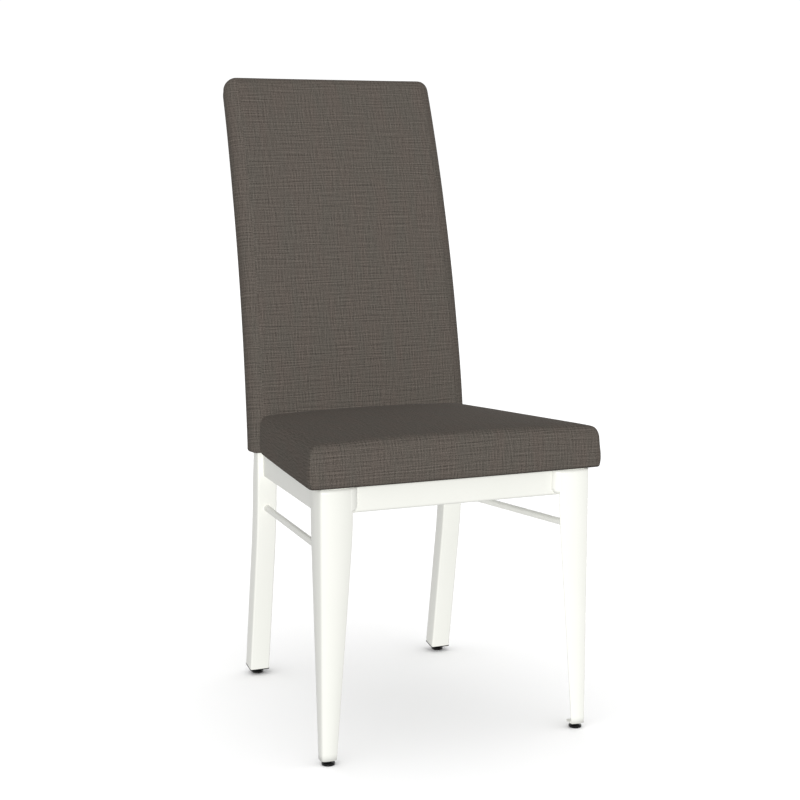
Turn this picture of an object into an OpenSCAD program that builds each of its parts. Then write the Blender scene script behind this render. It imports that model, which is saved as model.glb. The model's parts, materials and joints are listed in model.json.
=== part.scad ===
// High-backed dining chair: an upholstered seat and back on a welded, white painted steel frame.
// The chair faces -Y. The origin is on the floor, under the middle of the chair's outline.
// Left and right are the sitter's: the right side is -X.

/* [Seat] */
// Height of the cushion's underside above the floor, over the front glides
seat_z = 423; // [400:0.1:450]
// Slope of the seat down towards the back, in degrees
seat_tilt = 2.5; // [1:0.1:4]
// Front corners of the seat to the foot of the back
seat_depth = 405; // [370:1:440]
// How far the seat stands in front of the front glides' centres
seat_front_over = 18; // [11:0.5:24]
// How far the seat overhangs the outside of each front leg
seat_side_over = 18.5; // [10:0.5:26]
// How far the seat overhangs the outside of each side rail at the back
seat_rear_over = 5.5; // [3.5:0.5:10]
// Gap at the underside between the seat and the foot of the back
seat_back_gap = 5; // [3:0.5:9]
// Height of the cushion at its edges, underside to top
seat_edge_h = 63.5; // [50:0.5:75]
// Extra height of the cushion in its middle
seat_crown = 8; // [3:0.5:14]
// Rounding of the cushion's top edges
seat_edge_r = 14; // [10:1:20]
// Rounding of the seat's front corners, seen from above
seat_front_r = 6; // [4:1:18]
// Rounding of the seat's rear corners, seen from above
seat_rear_r = 10; // [8:1:30]
// Bow of the seat's front, seen from above
seat_front_bow = 3; // [0:0.5:8]
// Bow of the seat's sides, seen from above
seat_side_bow = 1; // [0:0.2:6]
// Thickness of the plywood seat board
board_t = 12; // [9:1:15]

/* [Back] */
// Height of the back's top edge above the floor
overall_h = 1036; // [960:1:1100]
// Height of the back's lower front edge above the floor
back_low_z = 406.5; // [402:0.5:418]
// Thickness of the padded back
back_t = 52; // [46:1:60]
// Lean of the back at its foot, in degrees from upright
back_low_lean = 5.2; // [4:0.1:6]
// Lean of the back at its top, in degrees from upright
back_high_lean = 22.4; // [19:0.1:25]
// Padding outside each upright at the foot of the back
back_side_pad = 7; // [5:0.5:15]
// How much narrower each side of the back is at its top
back_side_taper = 9.5; // [2:0.5:16]
// Rounding of the back's upright edges
back_edge_r = 12; // [8:1:16]
// Rounding of the back's top edge and corners
back_top_r = 14; // [8:1:18]
// How far the padding swells at the middle of the back's front
back_crown = 4; // [1:0.5:8]
// Thickness of the thin board inside the back
inner_board_t = 5; // [4:0.5:5]

/* [Cover] */
// Thickness of the upholstery fabric
cover_t = 1.2; // [0.8:0.1:2]
// Width of the cover's hem turned under the seat board
hem_w = 30; // [20:1:45]
// Space left between soft pieces and what they lie on
soft_gap = 0.3; // [0.2:0.05:0.4]

/* [Front legs] */
// Width over the outsides of the two front legs
front_leg_span = 442; // [400:1:480]
// Front of the leg's outer corner, ahead of the glide's centre
leg_front_over = 6.6; // [5:0.1:9]
// Width of the leg's front wing at the top
wing_top_w = 51.2; // [40:0.2:60]
// Width of the leg's front wing at the foot
wing_toe_w = 21.8; // [20:0.2:28]
// Depth of the leg's side wing at the top
side_top_d = 43; // [34:0.5:50]
// Depth of the leg's side wing at the foot
side_toe_d = 15.5; // [14.5:0.5:22]
// Height above the floor where the leg starts to taper
taper_start_z = 356; // [320:1:370]
// Swell of the front wing, as a share of its width
wing_swell = 0.09; // [0.03:0.01:0.12]
// Swell of the side wing, as a share of its depth
side_swell = 0.06; // [0.02:0.01:0.08]
// Thickness of the pressed sheet
sheet_t = 2; // [1.5:0.1:2.5]
// Height of the joggled tab that laps the front rail
tab_h = 31; // [20:1:34]
// How far the tab reaches past the wing along the rail
tab_reach = 5; // [3:0.5:12]

/* [Rails and rods] */
// Height of the front rail
rail_h = 40; // [34:1:46]
// Height of the side rails and the rear rail
side_rail_h = 40; // [34:1:46]
// Thickness of the rails, front to back or side to side
rail_t = 20; // [16:1:24]
// Wall of the rails
rail_wall = 1.5; // [1.2:0.1:2]
// Rounding of the rails' outer edges
rail_r = 4.5; // [2.5:0.5:6]
// Set-back of the side rail's outside from the rear leg's outside
rail_inset = 9; // [5:0.5:11]
// Diameter of the side rods
rod_d = 11; // [9:0.5:13]
// Depth of the rods' centres under the cushion's underside, square to the seat
rod_drop = 96; // [70:1:130]
// Thickness of the corner plates that the seat is screwed to
plate_t = 3; // [2:0.5:4]
// Length of a corner plate's short sides
plate_leg = 62; // [50:1:75]

/* [Rear legs] */
// How much closer together the rear feet's centres are than the front legs' outsides
rear_narrowing = 93.8; // [76:0.2:116]
// Width of the rear leg's tube
upright_w = 32; // [28:1:36]
// Depth of the rear leg's tube, front to back
upright_d = 25; // [22:1:28]
// Wall of the rear leg's tube
upright_wall = 1.5; // [1.2:0.1:2]
// Rounding of the tube's edges
upright_r = 3; // [2:0.5:4]
// Slope of the rear leg below its bend, in degrees from upright
rake = 10.8; // [7:0.1:12]
// Radius of the long bend below the waist
low_bend_r = 860; // [700:10:1000]
// Radius of the bend above the waist
high_bend_r = 700; // [640:10:740]
// Height above the floor where the leg stands furthest forward
waist_z = 385; // [380:1:390]
// Cover and foam in front of the tube at the foot of the back
back_front_pad = 4.9; // [4.6:0.1:7]
// Lean of the upright where the bend above the waist ends, in degrees
bend_end_lean = 10.4; // [9.8:0.1:11]

/* [Feet] */
// Diameter of the swivelling glides
glide_d = 20.5; // [18:0.5:26]
// Height of a glide's rim
glide_rim_h = 3.2; // [2.5:0.1:3.6]
// Height of a glide up to its mouth
glide_h = 6; // [5.5:0.1:6.2]
// Diameter of the ball on the stem
ball_d = 6.4; // [6:0.1:6.6]
// Height of the ball's centre above the floor
ball_z = 4.5; // [4.3:0.1:4.8]
// Clearance round the ball in its socket
ball_gap = 0.05; // [0.02:0.01:0.1]
// Diameter of the stem's threaded part
stem_d = 8; // [6:0.5:9]
// Length of the stem's threaded part
stem_len = 16; // [12:1:20]
// Clearance round a stem or screw in its hole
hole_gap = 0.05; // [0.03:0.01:0.1]
// Height of the legs' lower ends above the floor
leg_clear = 8; // [7.6:0.1:10]
// Thickness of the flange on a rear leg's plastic insert
flange_t = 2; // [1.5:0.1:3]
// Depth of the insert inside the tube
insert_len = 18; // [18:1:26]

/* [Fasteners] */
// Diameter of the seat screws
screw_d = 6; // [5:0.5:6]
// Diameter of the screws' heads
screw_head_d = 11; // [10:0.5:13]
// Diameter of the tee nuts' flanges
tee_flange_d = 19; // [16:0.5:22]

/* [Hidden] */

RIGHT = -1;
LEFT = 1;
fine = 48;
tiny = 0.01;
white_paint = [0.95, 0.95, 0.93];
grey_fabric = [0.36, 0.33, 0.31];

// Seat coordinates: y backwards from the front glides, z up, both square to the tilted seat
dust_t = 0.6;
frame_top = -(dust_t + 2 * soft_gap);
rail_front = 1;
rail_top_z = seat_z + frame_top - (rail_front + rail_t) * sin(seat_tilt) - 0.1;
back_y0 = seat_depth - seat_front_over;
seat_y0 = -seat_front_over;
seat_y1 = back_y0 - seat_back_gap;
rear_track = front_leg_span - rear_narrowing;
side_x0 = front_leg_span / 2 - sheet_t;
side_x1 = rear_track / 2 + upright_w / 2 - rail_inset;
side_y0 = rail_front + rail_t;
seat_w0 = front_leg_span / 2 + seat_side_over;
seat_w1 = side_x1 + seat_rear_over;
edge_foot_r = 2.2;
edge_bulge = 2;
bulge_share = 0.3;

// Turns seat coordinates into the chair's own
module on_seat() {
    translate([0, 0, seat_z]) rotate([-seat_tilt, 0, 0]) children();
}

function seat_to_floor(p) = [p[0], p[1] * cos(seat_tilt) + p[2] * sin(seat_tilt),
    seat_z - p[1] * sin(seat_tilt) + p[2] * cos(seat_tilt)];

// The back's front face is an arc, leaning more towards its top
back_foot_r = 5;
arc_steps = 8;
round_steps = 4;
back_arc_r = (overall_h - back_low_z) / (sin(back_high_lean) - sin(back_low_lean));
function arc_y(a, a0, r) = r * (cos(a0) - cos(a));
function arc_z(a, a0, r) = r * (sin(a) - sin(a0));
// A point at lean a, and depth t behind the front face
function back_point(a, t) = [back_y0 + arc_y(a, back_low_lean, back_arc_r) + t * cos(a),
    back_low_z + arc_z(a, back_low_lean, back_arc_r) - t * sin(a)];
function back_lean(z) = asin(sin(back_low_lean) + (z - back_low_z) / back_arc_r);
back_w0 = rear_track / 2 + upright_w / 2 + back_side_pad;
// Swell of the padding at the middle of the back's front, at a height
function back_swell(z) =
    back_crown * sin(180 * min(max((z - back_low_z) / (overall_h - back_low_z), 0), 1));
// How much each side of the back is drawn in at a height
function side_in(z) = back_side_taper * max(0, z - back_low_z) / (overall_h - back_low_z);

// The rear leg: a raked foot, two long bends that meet at the waist, and an arc inside the back
waist_y = back_y0 + back_front_pad + upright_d / 2;
bend_foot_z = waist_z - low_bend_r * sin(rake);
bend_foot_y = waist_y + low_bend_r * (1 - cos(rake));
leg_end_z = leg_clear + flange_t;
rear_foot_y = bend_foot_y + (bend_foot_z - leg_end_z) * tan(rake);
bend_end_z = waist_z + high_bend_r * sin(bend_end_lean);
bend_end_y = waist_y + high_bend_r * (1 - cos(bend_end_lean));
upright_top_gap = 34;
upright_top_z = overall_h - upright_top_gap;
upper_lean = back_high_lean - 1;
upper_r = (upright_top_z - bend_end_z) / (sin(upper_lean) - sin(bend_end_lean));
upper_turn = upper_lean - bend_end_lean;
upright_tilt = asin((side_in(upright_top_z) - side_in(bend_end_z)) / (upper_r * sin(upper_turn)));

// Centre of the upright at a height inside the back, as [y, lean]
function upright_at(z) =
    let (a = asin(sin(bend_end_lean) + (z - bend_end_z) / upper_r))
    [bend_end_y + arc_y(a, bend_end_lean, upper_r), a];
function upright_x(z) =
    rear_track / 2 - upper_r * sin(upright_at(z)[1] - bend_end_lean) * sin(upright_tilt);

// Crossbars inside the back, by the height of their centres
bar_size = 20;
bar_low_z = bend_end_z + 16;
bar_top_z = upright_top_z - 26;
bar_middle_z = (bar_low_z + bar_top_z) / 2;
bar_back = upright_d / 2 - bar_size / 2;
board_w = 2 * (upright_x(upright_top_z) - upright_w / 2 - 2);
board_z0 = bar_low_z - 22;
board_z1 = bar_top_z + 22;

// How far the top of the cushion's rear can be pushed back before it meets the back
rear_top = seat_to_floor([0, seat_y1, seat_edge_h]);
rear_push = back_point(back_lean(rear_top[2]), 0)[0] - back_swell(rear_top[2]) - 1 - rear_top[1];

// Chair outline, front to back, which puts the origin under its middle
seat_front_y = min([for (r = seat_rings(0, 0)) for (p = r) seat_to_floor(p)[1]]);
back_rear_y = max([for (r = back_rings(0)) for (p = r) p[1]]);
mid_y = (seat_front_y + back_rear_y) / 2;

// Rounds the corner b of the path a-b-c with radius r, in k steps
function corner(a, b, c, r, k) =
    let (u = (a - b) / norm(a - b), v = (c - b) / norm(c - b),
        half = acos(u * v) / 2, reach = r / sin(half),
        m = b + (u + v) / norm(u + v) * reach,
        p = b + u * r / tan(half), q = b + v * r / tan(half),
        a0 = atan2(p[1] - m[1], p[0] - m[0]), a1 = atan2(q[1] - m[1], q[0] - m[0]),
        turn = a1 - a0 > 180 ? a1 - a0 - 360 : a1 - a0 < -180 ? a1 - a0 + 360 : a1 - a0)
    [for (i = [0:k]) m + r * [cos(a0 + turn * i / k), sin(a0 + turn * i / k)]];

// Points strictly between a and b, bowed outwards to the right of the path
function between(a, b, k, bow = 0) =
    let (d = (b - a) / norm(b - a))
    [for (i = [1:k]) let (t = i / (k + 1)) a + (b - a) * t + [d[1], -d[0]] * bow * 4 * t * (1 - t)];

// Plan of the seat drawn in by inset: front right corner first, anticlockwise from above
function seat_corners(inset) =
    let (slope = (seat_w0 - seat_w1) / (seat_y1 - seat_y0), side = inset * sqrt(1 + slope * slope),
        y0 = seat_y0 + inset, y1 = seat_y1 - inset,
        w0 = seat_w0 - slope * inset - side, w1 = seat_w1 + slope * inset - side)
    [[-w0, y0], [w0, y0], [w1, y1], [-w1, y1]];
function seat_plan(inset, corner_steps = 3, side_steps = 5, bow = 1) =
    let (c = seat_corners(inset), rf = max(seat_front_r - inset, 1.5),
        rr = max(seat_rear_r - inset, 3),
        a = corner(c[3], c[0], c[1], rf, corner_steps), b = corner(c[0], c[1], c[2], rf, corner_steps),
        d = corner(c[1], c[2], c[3], rr, corner_steps), e = corner(c[2], c[3], c[0], rr, corner_steps))
    concat(a, between(a[corner_steps], b[0], side_steps, bow * seat_front_bow), b,
        between(b[corner_steps], d[0], side_steps, bow * seat_side_bow), d,
        between(d[corner_steps], e[0], side_steps), e,
        between(e[corner_steps], a[0], side_steps, bow * seat_side_bow));

// Height added by the crown at a point of the plan
function crown_at(x, y) =
    let (v = (y - (seat_y0 + seat_y1) / 2) / ((seat_y1 - seat_y0) / 2),
        w = seat_w0 + (seat_w1 - seat_w0) * (y - seat_y0) / (seat_y1 - seat_y0))
    seat_crown * max(0, 1 - pow(x / w, 2)) * (1 - 0.35 * v * v);

// A point of the cushion, pushed back with height so that its rear all but meets the back
function pushed(p) =
    [p[0], p[1] + rear_push * (p[1] - seat_y0) / (seat_y1 - seat_y0) * p[2] / seat_edge_h, p[2]];

// Rings from the underside up: foot rounding, bulging side, top rounding, crowned top
function seat_rings(shell, bottom) =
    let (mid = (seat_y0 + seat_y1) / 2, r = seat_edge_r, top = seat_edge_h - shell,
        bulge_z = max(edge_foot_r + bulge_share * (seat_edge_h - r - edge_foot_r),
            bottom + edge_foot_r + 1))
    concat(
        [[for (p = seat_plan(edge_foot_r + shell)) [p[0], p[1], bottom]],
            [for (p = seat_plan(shell)) pushed([p[0], p[1], bottom + edge_foot_r])],
            [for (p = seat_plan(shell - edge_bulge)) pushed([p[0], p[1], bulge_z])]],
        [for (i = [0:round_steps - 1]) let (a = 90 * i / round_steps)
            [for (p = seat_plan(shell + r * (1 - cos(a))))
                pushed([p[0], p[1], top - r * (1 - sin(a)) + crown_at(p[0], p[1]) * sin(a)])]],
        [for (share = [1, 0.8, 0.55, 0.28])
            [for (p = seat_plan(r + shell)) let (x = p[0] * share, y = mid + (p[1] - mid) * share)
                pushed([x, y, top + crown_at(x, y)])]]);

// Solid through a list of rings with equal counts, flat ends closed
module loft(rings) {
    n = len(rings[0]);
    m = len(rings);
    points = [for (r = rings) for (p = r) p];
    sides = [for (j = [0:m - 2]) for (i = [0:n - 1]) for (half = [0, 1])
        let (i2 = (i + 1) % n, a = j * n + i, b = j * n + i2, c = (j + 1) * n + i2, d = (j + 1) * n + i)
        half == 0 ? [a, c, b] : [a, d, c]];
    ends = [[for (i = [0:n - 1]) i], [for (i = [n - 1:-1:0]) (m - 1) * n + i]];
    polyhedron(points, concat(sides, ends), convexity = 6);
}

// Section of the back: a rounded bar, front face swollen, at lean a and depth t0 to t1
function back_section(w, t0, t1, r, k = 3, face_steps = 4) =
    let (a = corner([-w, t1], [-w, t0], [w, t0], r, k), b = corner([-w, t0], [w, t0], [w, t1], r, k),
        c = corner([w, t0], [w, t1], [-w, t1], r, k), d = corner([w, t1], [-w, t1], [-w, t0], r, k))
    concat(a, between(a[k], b[0], face_steps), b, c, between(c[k], d[0], face_steps), d);
// One ring of the back at lean a, drawn in by inset all round; z sits where the lean says
function back_ring(a, inset, shell, along) =
    let (z = back_low_z + arc_z(a, back_low_lean, back_arc_r),
        w = back_w0 - side_in(z) - inset - shell, t0 = inset + shell, t1 = back_t - inset - shell,
        r = max(back_edge_r - inset - shell, 1.5), swell = back_swell(z))
    [for (p = back_section(w, t0, t1, min(r, (t1 - t0) / 2 - 0.5)))
        let (front = p[1] < back_t / 2 ? swell * max(0, 1 - pow(p[0] / w, 2)) : 0,
            q = back_point(a, p[1] - front))
        [p[0], q[0] + along * sin(a), q[1] + along * cos(a)]];

// Rings from the foot up: foot rounding, arc, top rounding
function back_rings(shell) =
    let (lo = back_low_lean + asin((back_foot_r + shell) / back_arc_r),
        top_r = back_top_r + shell / (1 - sin(back_high_lean)),
        hi = asin((overall_h - back_low_z - top_r + back_arc_r * sin(back_low_lean))
            / (back_arc_r - top_r)))
    concat(
        [for (i = [0:1]) let (b = 90 * i / 2)
            back_ring(lo, back_foot_r * (1 - sin(b)), shell, -back_foot_r * cos(b))],
        [for (i = [0:arc_steps]) back_ring(lo + (hi - lo) * i / arc_steps, 0, shell, 0)],
        [for (i = [1:round_steps]) let (b = 90 * i / round_steps)
            back_ring(hi, back_top_r * (1 - cos(b)), shell, back_top_r * sin(b))]);

// Section of the rear leg's tube, depth along x and width along y, thinned on both sides by a step
module upright_profile(step = 0) {
    d = upright_d - 2 * step;
    w = upright_w - 2 * step;
    translate([-d / 2, -w / 2]) tube_profile(d, w, upright_wall - 2 * step, upright_r - step);
}

// Bar of the profile given as child, bent back on a radius, from a lean on through a turn
module bent_bar(radius, lean, turn) {
    translate([0, radius, 0]) rotate([90, 0, -90]) rotate([0, 0, lean])
        rotate_extrude(angle = turn, $fn = 6 * fine) translate([radius, 0]) children();
}

// The lower bend is a hair thinner than its neighbours and runs a little way into both
module rear_leg(side) {
    hair = 0.02;
    lap = 0.05;
    color(white_paint) translate([side * rear_track / 2, 0, 0]) {
        intersection() {
            translate([0, rear_foot_y, leg_end_z]) rotate([rake, 0, 0]) rotate([0, 0, 90])
                translate([0, 0, -upright_d]) linear_extrude(
                    (bend_foot_z - leg_end_z) / cos(rake) + upright_d) upright_profile();
            translate([-upright_w, 0, leg_end_z]) cube([2 * upright_w, 2 * rear_foot_y, overall_h]);
        }
        translate([0, waist_y, waist_z]) {
            bent_bar(low_bend_r, -rake - lap, rake + 2 * lap) upright_profile(hair);
            bent_bar(high_bend_r, 0, bend_end_lean) upright_profile();
        }
    }
}

// Tube inside the back, carried on from the leg's end on a wider radius and leaning inwards
module back_upright(side) {
    early = 0.05;
    color(white_paint) translate([side * rear_track / 2, bend_end_y, bend_end_z])
        rotate([-bend_end_lean, 0, 0]) intersection() {
            rotate([0, -side * upright_tilt, 0])
                bent_bar(upper_r, -early, upper_turn + early) upright_profile();
            translate([-2 * upright_w, -upright_w, 0]) cube([4 * upright_w, overall_h, overall_h]);
        }
}

// Front leg: share of the taper at a height, eased where it starts
ease = 0.08;
function taper(z) =
    let (s = (z - leg_clear) / (taper_start_z - leg_clear))
    s < 1 - ease ? s : s > 1 + ease ? 1 : 1 - pow(1 + ease - s, 2) / (4 * ease);
function wing_w(z) = wing_toe_w + (wing_top_w - wing_toe_w) * taper(z);
function side_d(z) = side_toe_d + (side_top_d - side_toe_d) * taper(z);
wing_steps = 10;
side_steps = 4;
leg_x = front_leg_span / 2;
nut_af = 11.8;
leg_y = -max(leg_front_over, nut_af / 2 + sheet_t + soft_gap - 0.85 * wing_swell * wing_toe_w);
leg_top_z = rail_top_z;
// Front face of the wing, at a distance in from the outer corner
function wing_y(d, w) = leg_y - wing_swell * w * (1 - pow(2 * d / w - 1, 2));
// Outside of the side wing, at a distance back from the corner
function side_x(d, depth) = leg_x + side_swell * depth * (1 - pow(2 * d / depth - 1, 2));

// Sheet section at a height: inside from the side wing's rear edge to the inner edge, then outside
function leg_section(z) =
    let (w = wing_w(z), depth = side_d(z))
    [for (p = concat(
        [for (i = [side_steps:-1:1]) let (d = depth * i / side_steps)
            [side_x(d, depth) - sheet_t, leg_y + d]],
        [[leg_x - sheet_t, wing_y(sheet_t, w) + sheet_t]],
        [for (i = [1:wing_steps]) let (d = w * i / wing_steps)
            [leg_x - max(d, sheet_t + 0.4), wing_y(d, w) + sheet_t]],
        [for (i = [wing_steps:-1:0]) let (d = w * i / wing_steps) [leg_x - d, wing_y(d, w)]],
        [for (i = [1:side_steps]) let (d = depth * i / side_steps) [side_x(d, depth), leg_y + d]]))
        [p[0], p[1], z]];
ease_steps = 4;
ease_half = ease * (taper_start_z - leg_clear);
leg_levels = concat([leg_clear],
    [for (i = [0:ease_steps]) taper_start_z + ease_half * (2 * i / ease_steps - 1)], [leg_top_z]);

module front_leg(side) {
    color(white_paint) mirror([side == RIGHT ? 1 : 0, 0, 0]) {
        loft([for (z = leg_levels) leg_section(z)]);
        joggled_tab();
    }
}

// Small flange stepped back from the wing's inner edge, which laps and is welded to the front rail
tab_r = 5;
module joggled_tab() {
    edge_x = leg_x - wing_top_w;
    lap_y = rail_front - sheet_t;
    wing_edge_y = wing_y(wing_top_w, wing_top_w) + sheet_t / 2;
    low = leg_top_z - tab_h;
    difference() {
        translate([0, 0, low]) linear_extrude(tab_h - sheet_t / 4)
            polygon([[edge_x + 3, wing_edge_y - 0.4], [edge_x + 3, wing_edge_y + 0.7 * sheet_t],
                [edge_x + 1.6, rail_front], [edge_x - tab_reach, rail_front],
                [edge_x - tab_reach, lap_y], [edge_x - 0.8, lap_y], [edge_x + 0.8, wing_edge_y - 0.4]]);
        translate([edge_x - tab_reach + tab_r, rail_front + 1, low + tab_r]) rotate([90, 0, 0])
            linear_extrude(2 * sheet_t) difference() {
                translate([-2 * tab_r, -2 * tab_r]) square(2 * tab_r);
                circle(r = tab_r, $fn = fine);
            }
    }
}

// Rectangular tube section centred on x, lying from 0 up to h, t deep from y = 0
module tube_profile(w, h, wall, r) {
    difference() {
        rounded_rect(w, h, r);
        translate([wall, wall]) rounded_rect(w - 2 * wall, h - 2 * wall, max(r - wall, 0.5));
    }
}

module rounded_rect(w, h, r) {
    translate([r, 0]) square([w - 2 * r, h]);
    translate([0, r]) square([w, h - 2 * r]);
    for (x = [r, w - r]) for (y = [r, h - r]) translate([x, y]) circle(r = r, $fn = fine);
}

module front_rail() {
    half = leg_x - sheet_t;
    color(white_paint) translate([-half, rail_front, rail_top_z - rail_h])
        rotate([90, 0, 90]) linear_extrude(2 * half) tube_profile(rail_t, rail_h, rail_wall, rail_r);
}

// Side rail, in seat coordinates, between the front rail and the front of the rear leg
rail_end_y = back_y0 + back_front_pad;
rail_turn = atan((side_x0 - side_x1) / (rail_end_y - side_y0));
module side_rail(side) {
    reach = (rail_end_y - side_y0) / cos(rail_turn) + 2 * rail_t;
    color(white_paint) mirror([side == RIGHT ? 1 : 0, 0, 0]) intersection() {
        on_seat() translate([side_x0, side_y0, frame_top - side_rail_h]) rotate([0, 0, rail_turn])
            translate([-rail_t, -rail_t, 0]) rotate([90, 0, 180]) mirror([1, 0, 0])
            linear_extrude(reach) tube_profile(rail_t, side_rail_h, rail_wall, rail_r);
        translate([0, side_y0, 0]) cube([front_leg_span, rail_end_y - side_y0, seat_z]);
    }
}

// Rear rail, between the insides of the two rear legs
module rear_rail() {
    half = rear_track / 2 - upright_w / 2;
    color(white_paint) on_seat() translate([-half, rail_end_y + 2, frame_top - side_rail_h])
        rotate([90, 0, 90]) linear_extrude(2 * half)
        tube_profile(rail_t, side_rail_h, rail_wall, rail_r);
}

// Side rods, from behind the front wing to the front of the rear leg
rod_in = 8.8;
rod_x0 = leg_x - rod_in;
rod_z0 = seat_z - rod_drop / cos(seat_tilt);
rod_y0 = wing_y(rod_in - rod_d / 2, wing_w(rod_z0 - rod_d / 2)) + sheet_t + soft_gap;
rod_y1 = leg_front_y(rod_z0 - back_y0 * tan(seat_tilt) + rod_d / 2);
// Front face of the rear leg at a height on its lower bend
function leg_front_y(z) =
    let (a = asin((waist_z - z) / low_bend_r))
    waist_y + low_bend_r * (1 - cos(a)) - upright_d / 2 / cos(a);
module side_rod(side) {
    turn = atan((rod_x0 - rear_track / 2) / (rod_y1 - rod_y0));
    reach = (rod_y1 - rod_y0) / cos(turn) / cos(seat_tilt) + 2 * rod_d;
    color(white_paint) mirror([side == RIGHT ? 1 : 0, 0, 0]) intersection() {
        translate([rod_x0, 0, rod_z0]) rotate([-seat_tilt, 0, 0]) rotate([0, 0, turn])
            translate([0, rod_y0 - rod_d, 0]) rotate([-90, 0, 0])
            cylinder(d = rod_d, h = reach, $fn = fine);
        translate([0, rod_y0, 0]) cube([front_leg_span, rod_y1 - rod_y0, seat_z]);
    }
}

// Corner plates, in seat coordinates, with a hole for a seat screw
front_hole_in = [20, 20];
rear_hole_in = [13, 46];
function rail_inner_x(y) = side_x0 - (y - side_y0) * tan(rail_turn) - rail_t / cos(rail_turn);
plate_front_y = side_y0 + 0.3;
plate_rear_y = rail_end_y + 2;
function hole_spot(front) =
    let (in = front ? front_hole_in : rear_hole_in,
        y = front ? plate_front_y + in[1] : plate_rear_y - in[1])
    [rail_inner_x(y) - in[0], y];
module corner_plate(side, front) {
    y = front ? plate_front_y : plate_rear_y;
    way = front ? 1 : -1;
    far = y + way * plate_leg;
    cut = 12;
    spot = hole_spot(front);
    color(white_paint) mirror([side == RIGHT ? 1 : 0, 0, 0]) on_seat() difference() {
        translate([0, 0, frame_top - plate_t]) linear_extrude(plate_t)
            polygon([[rail_inner_x(y), y], [rail_inner_x(far), far],
                [rail_inner_x(far) - cut, far], [rail_inner_x(y) - plate_leg, y + way * cut],
                [rail_inner_x(y) - plate_leg, y]]);
        translate([spot[0], spot[1], frame_top - plate_t - 1])
            cylinder(d = screw_d + 1, h = plate_t + 2, $fn = fine);
    }
}

// Bars between the uprights inside the back, square to the upright's lean
module back_bar(z) {
    at = upright_at(z);
    half = upright_x(z) - upright_w / 2 - soft_gap / 2;
    color(white_paint) translate([0, at[0], z]) rotate([-at[1], 0, 0]) difference() {
        translate([-half, bar_back - bar_size / 2, -bar_size / 2]) rotate([90, 0, 90])
            linear_extrude(2 * half) tube_profile(bar_size, bar_size, rail_wall, 2);
        for (x = [-board_screw_x, board_screw_x]) translate([x, bar_back - bar_size / 2 - 1, 0])
            rotate([-90, 0, 0]) cylinder(d = board_screw_d + 2 * hole_gap, h = rail_wall + 3, $fn = fine);
    }
}

// Thin board that follows the uprights, in front of the bars; grow widens it for the foam's recess
module bent_board(grow) {
    steps = 12;
    far = upright_d / 2 - bar_size - soft_gap + grow;
    near = far - inner_board_t - 2 * grow;
    leans = [for (i = [0:steps]) let (z = board_z0 - grow + (board_z1 - board_z0 + 2 * grow) * i / steps)
        concat(upright_at(z), z)];
    outline = concat(
        [for (s = leans) [s[0] + near * cos(s[1]), s[2] - near * sin(s[1])]],
        [for (i = [steps:-1:0]) let (s = leans[i]) [s[0] + far * cos(s[1]), s[2] - far * sin(s[1])]]);
    translate([-board_w / 2 - grow, 0, 0]) rotate([90, 0, 90])
        linear_extrude(board_w + 2 * grow) polygon(outline);
}

board_screw_d = 4;
board_screw_x = board_w / 2 - 30;
module at_board_screws() {
    for (z = [bar_low_z, bar_middle_z, bar_top_z]) for (x = [-board_screw_x, board_screw_x]) {
        at = upright_at(z);
        translate([x, at[0], z]) rotate([-at[1], 0, 0]) rotate([-90, 0, 0])
            translate([0, 0, upright_d / 2 - bar_size - soft_gap - inner_board_t]) children();
    }
}

module back_board() {
    color([0.72, 0.6, 0.42]) difference() {
        bent_board(0);
        at_board_screws() translate([0, 0, -1])
            cylinder(d = board_screw_d + 2 * hole_gap, h = inner_board_t + 3, $fn = fine);
        at_board_screws() translate([0, 0, -1])
            cylinder(d = 2 * board_screw_d + 0.4, h = 1 + 2.2, $fn = fine);
    }
}

module back_board_screws() {
    color([0.7, 0.7, 0.72]) at_board_screws() {
        translate([0, 0, 0.3]) cylinder(d1 = 2 * board_screw_d, d2 = board_screw_d, h = 1.8, $fn = fine);
        translate([0, 0, 2.1 - tiny])
            cylinder(d = board_screw_d, h = inner_board_t + soft_gap + rail_wall, $fn = fine);
    }
}

// Foam moulded round the frame of the back
module back_foam() {
    color([0.9, 0.87, 0.72]) difference() {
        loft(back_rings(cover_t + soft_gap));
        for (side = [RIGHT, LEFT]) upright_channel(side);
        bent_board(soft_gap);
        for (z = [bar_low_z, bar_middle_z, bar_top_z]) bar_recess(z);
    }
}

// Channel in the foam for a leg's upper end and the upright on it
module upright_channel(side) {
    low = back_low_z - 10;
    top = upright_top_z + soft_gap;
    low_steps = 6;
    top_steps = 10;
    w = upright_w / 2 + 1.5 * soft_gap;
    d = upright_d / 2 + 1.5 * soft_gap;
    bent = [for (i = [0:low_steps - 1])
        let (z = low + (bend_end_z - low) * i / low_steps, a = asin((z - waist_z) / high_bend_r))
        [0, waist_y + high_bend_r * (1 - cos(a)), z, a]];
    upper = [for (i = [0:top_steps])
        let (z = bend_end_z + (top - bend_end_z) * i / top_steps, at = upright_at(z))
        [upright_x(z) - rear_track / 2, at[0], z, at[1]]];
    translate([side * rear_track / 2, 0, 0]) loft([for (s = concat(bent, upper))
        [for (p = [[-w, -d], [w, -d], [w, d], [-w, d]])
            [side * s[0] + p[0], s[1] + p[1] * cos(s[3]), s[2] - p[1] * sin(s[3])]]]);
}

module bar_recess(z) {
    at = upright_at(z);
    half = upright_x(z) - upright_w / 2;
    size = bar_size + 2 * soft_gap;
    translate([-half, at[0], z]) rotate([-at[1], 0, 0])
        translate([0, bar_back - size / 2, -size / 2]) cube([2 * half, size, size]);
}

module back_cover() {
    color(grey_fabric) difference() {
        loft(back_rings(0));
        loft(back_rings(cover_t));
        for (side = [RIGHT, LEFT]) sleeve_mouth(side);
    }
}

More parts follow.
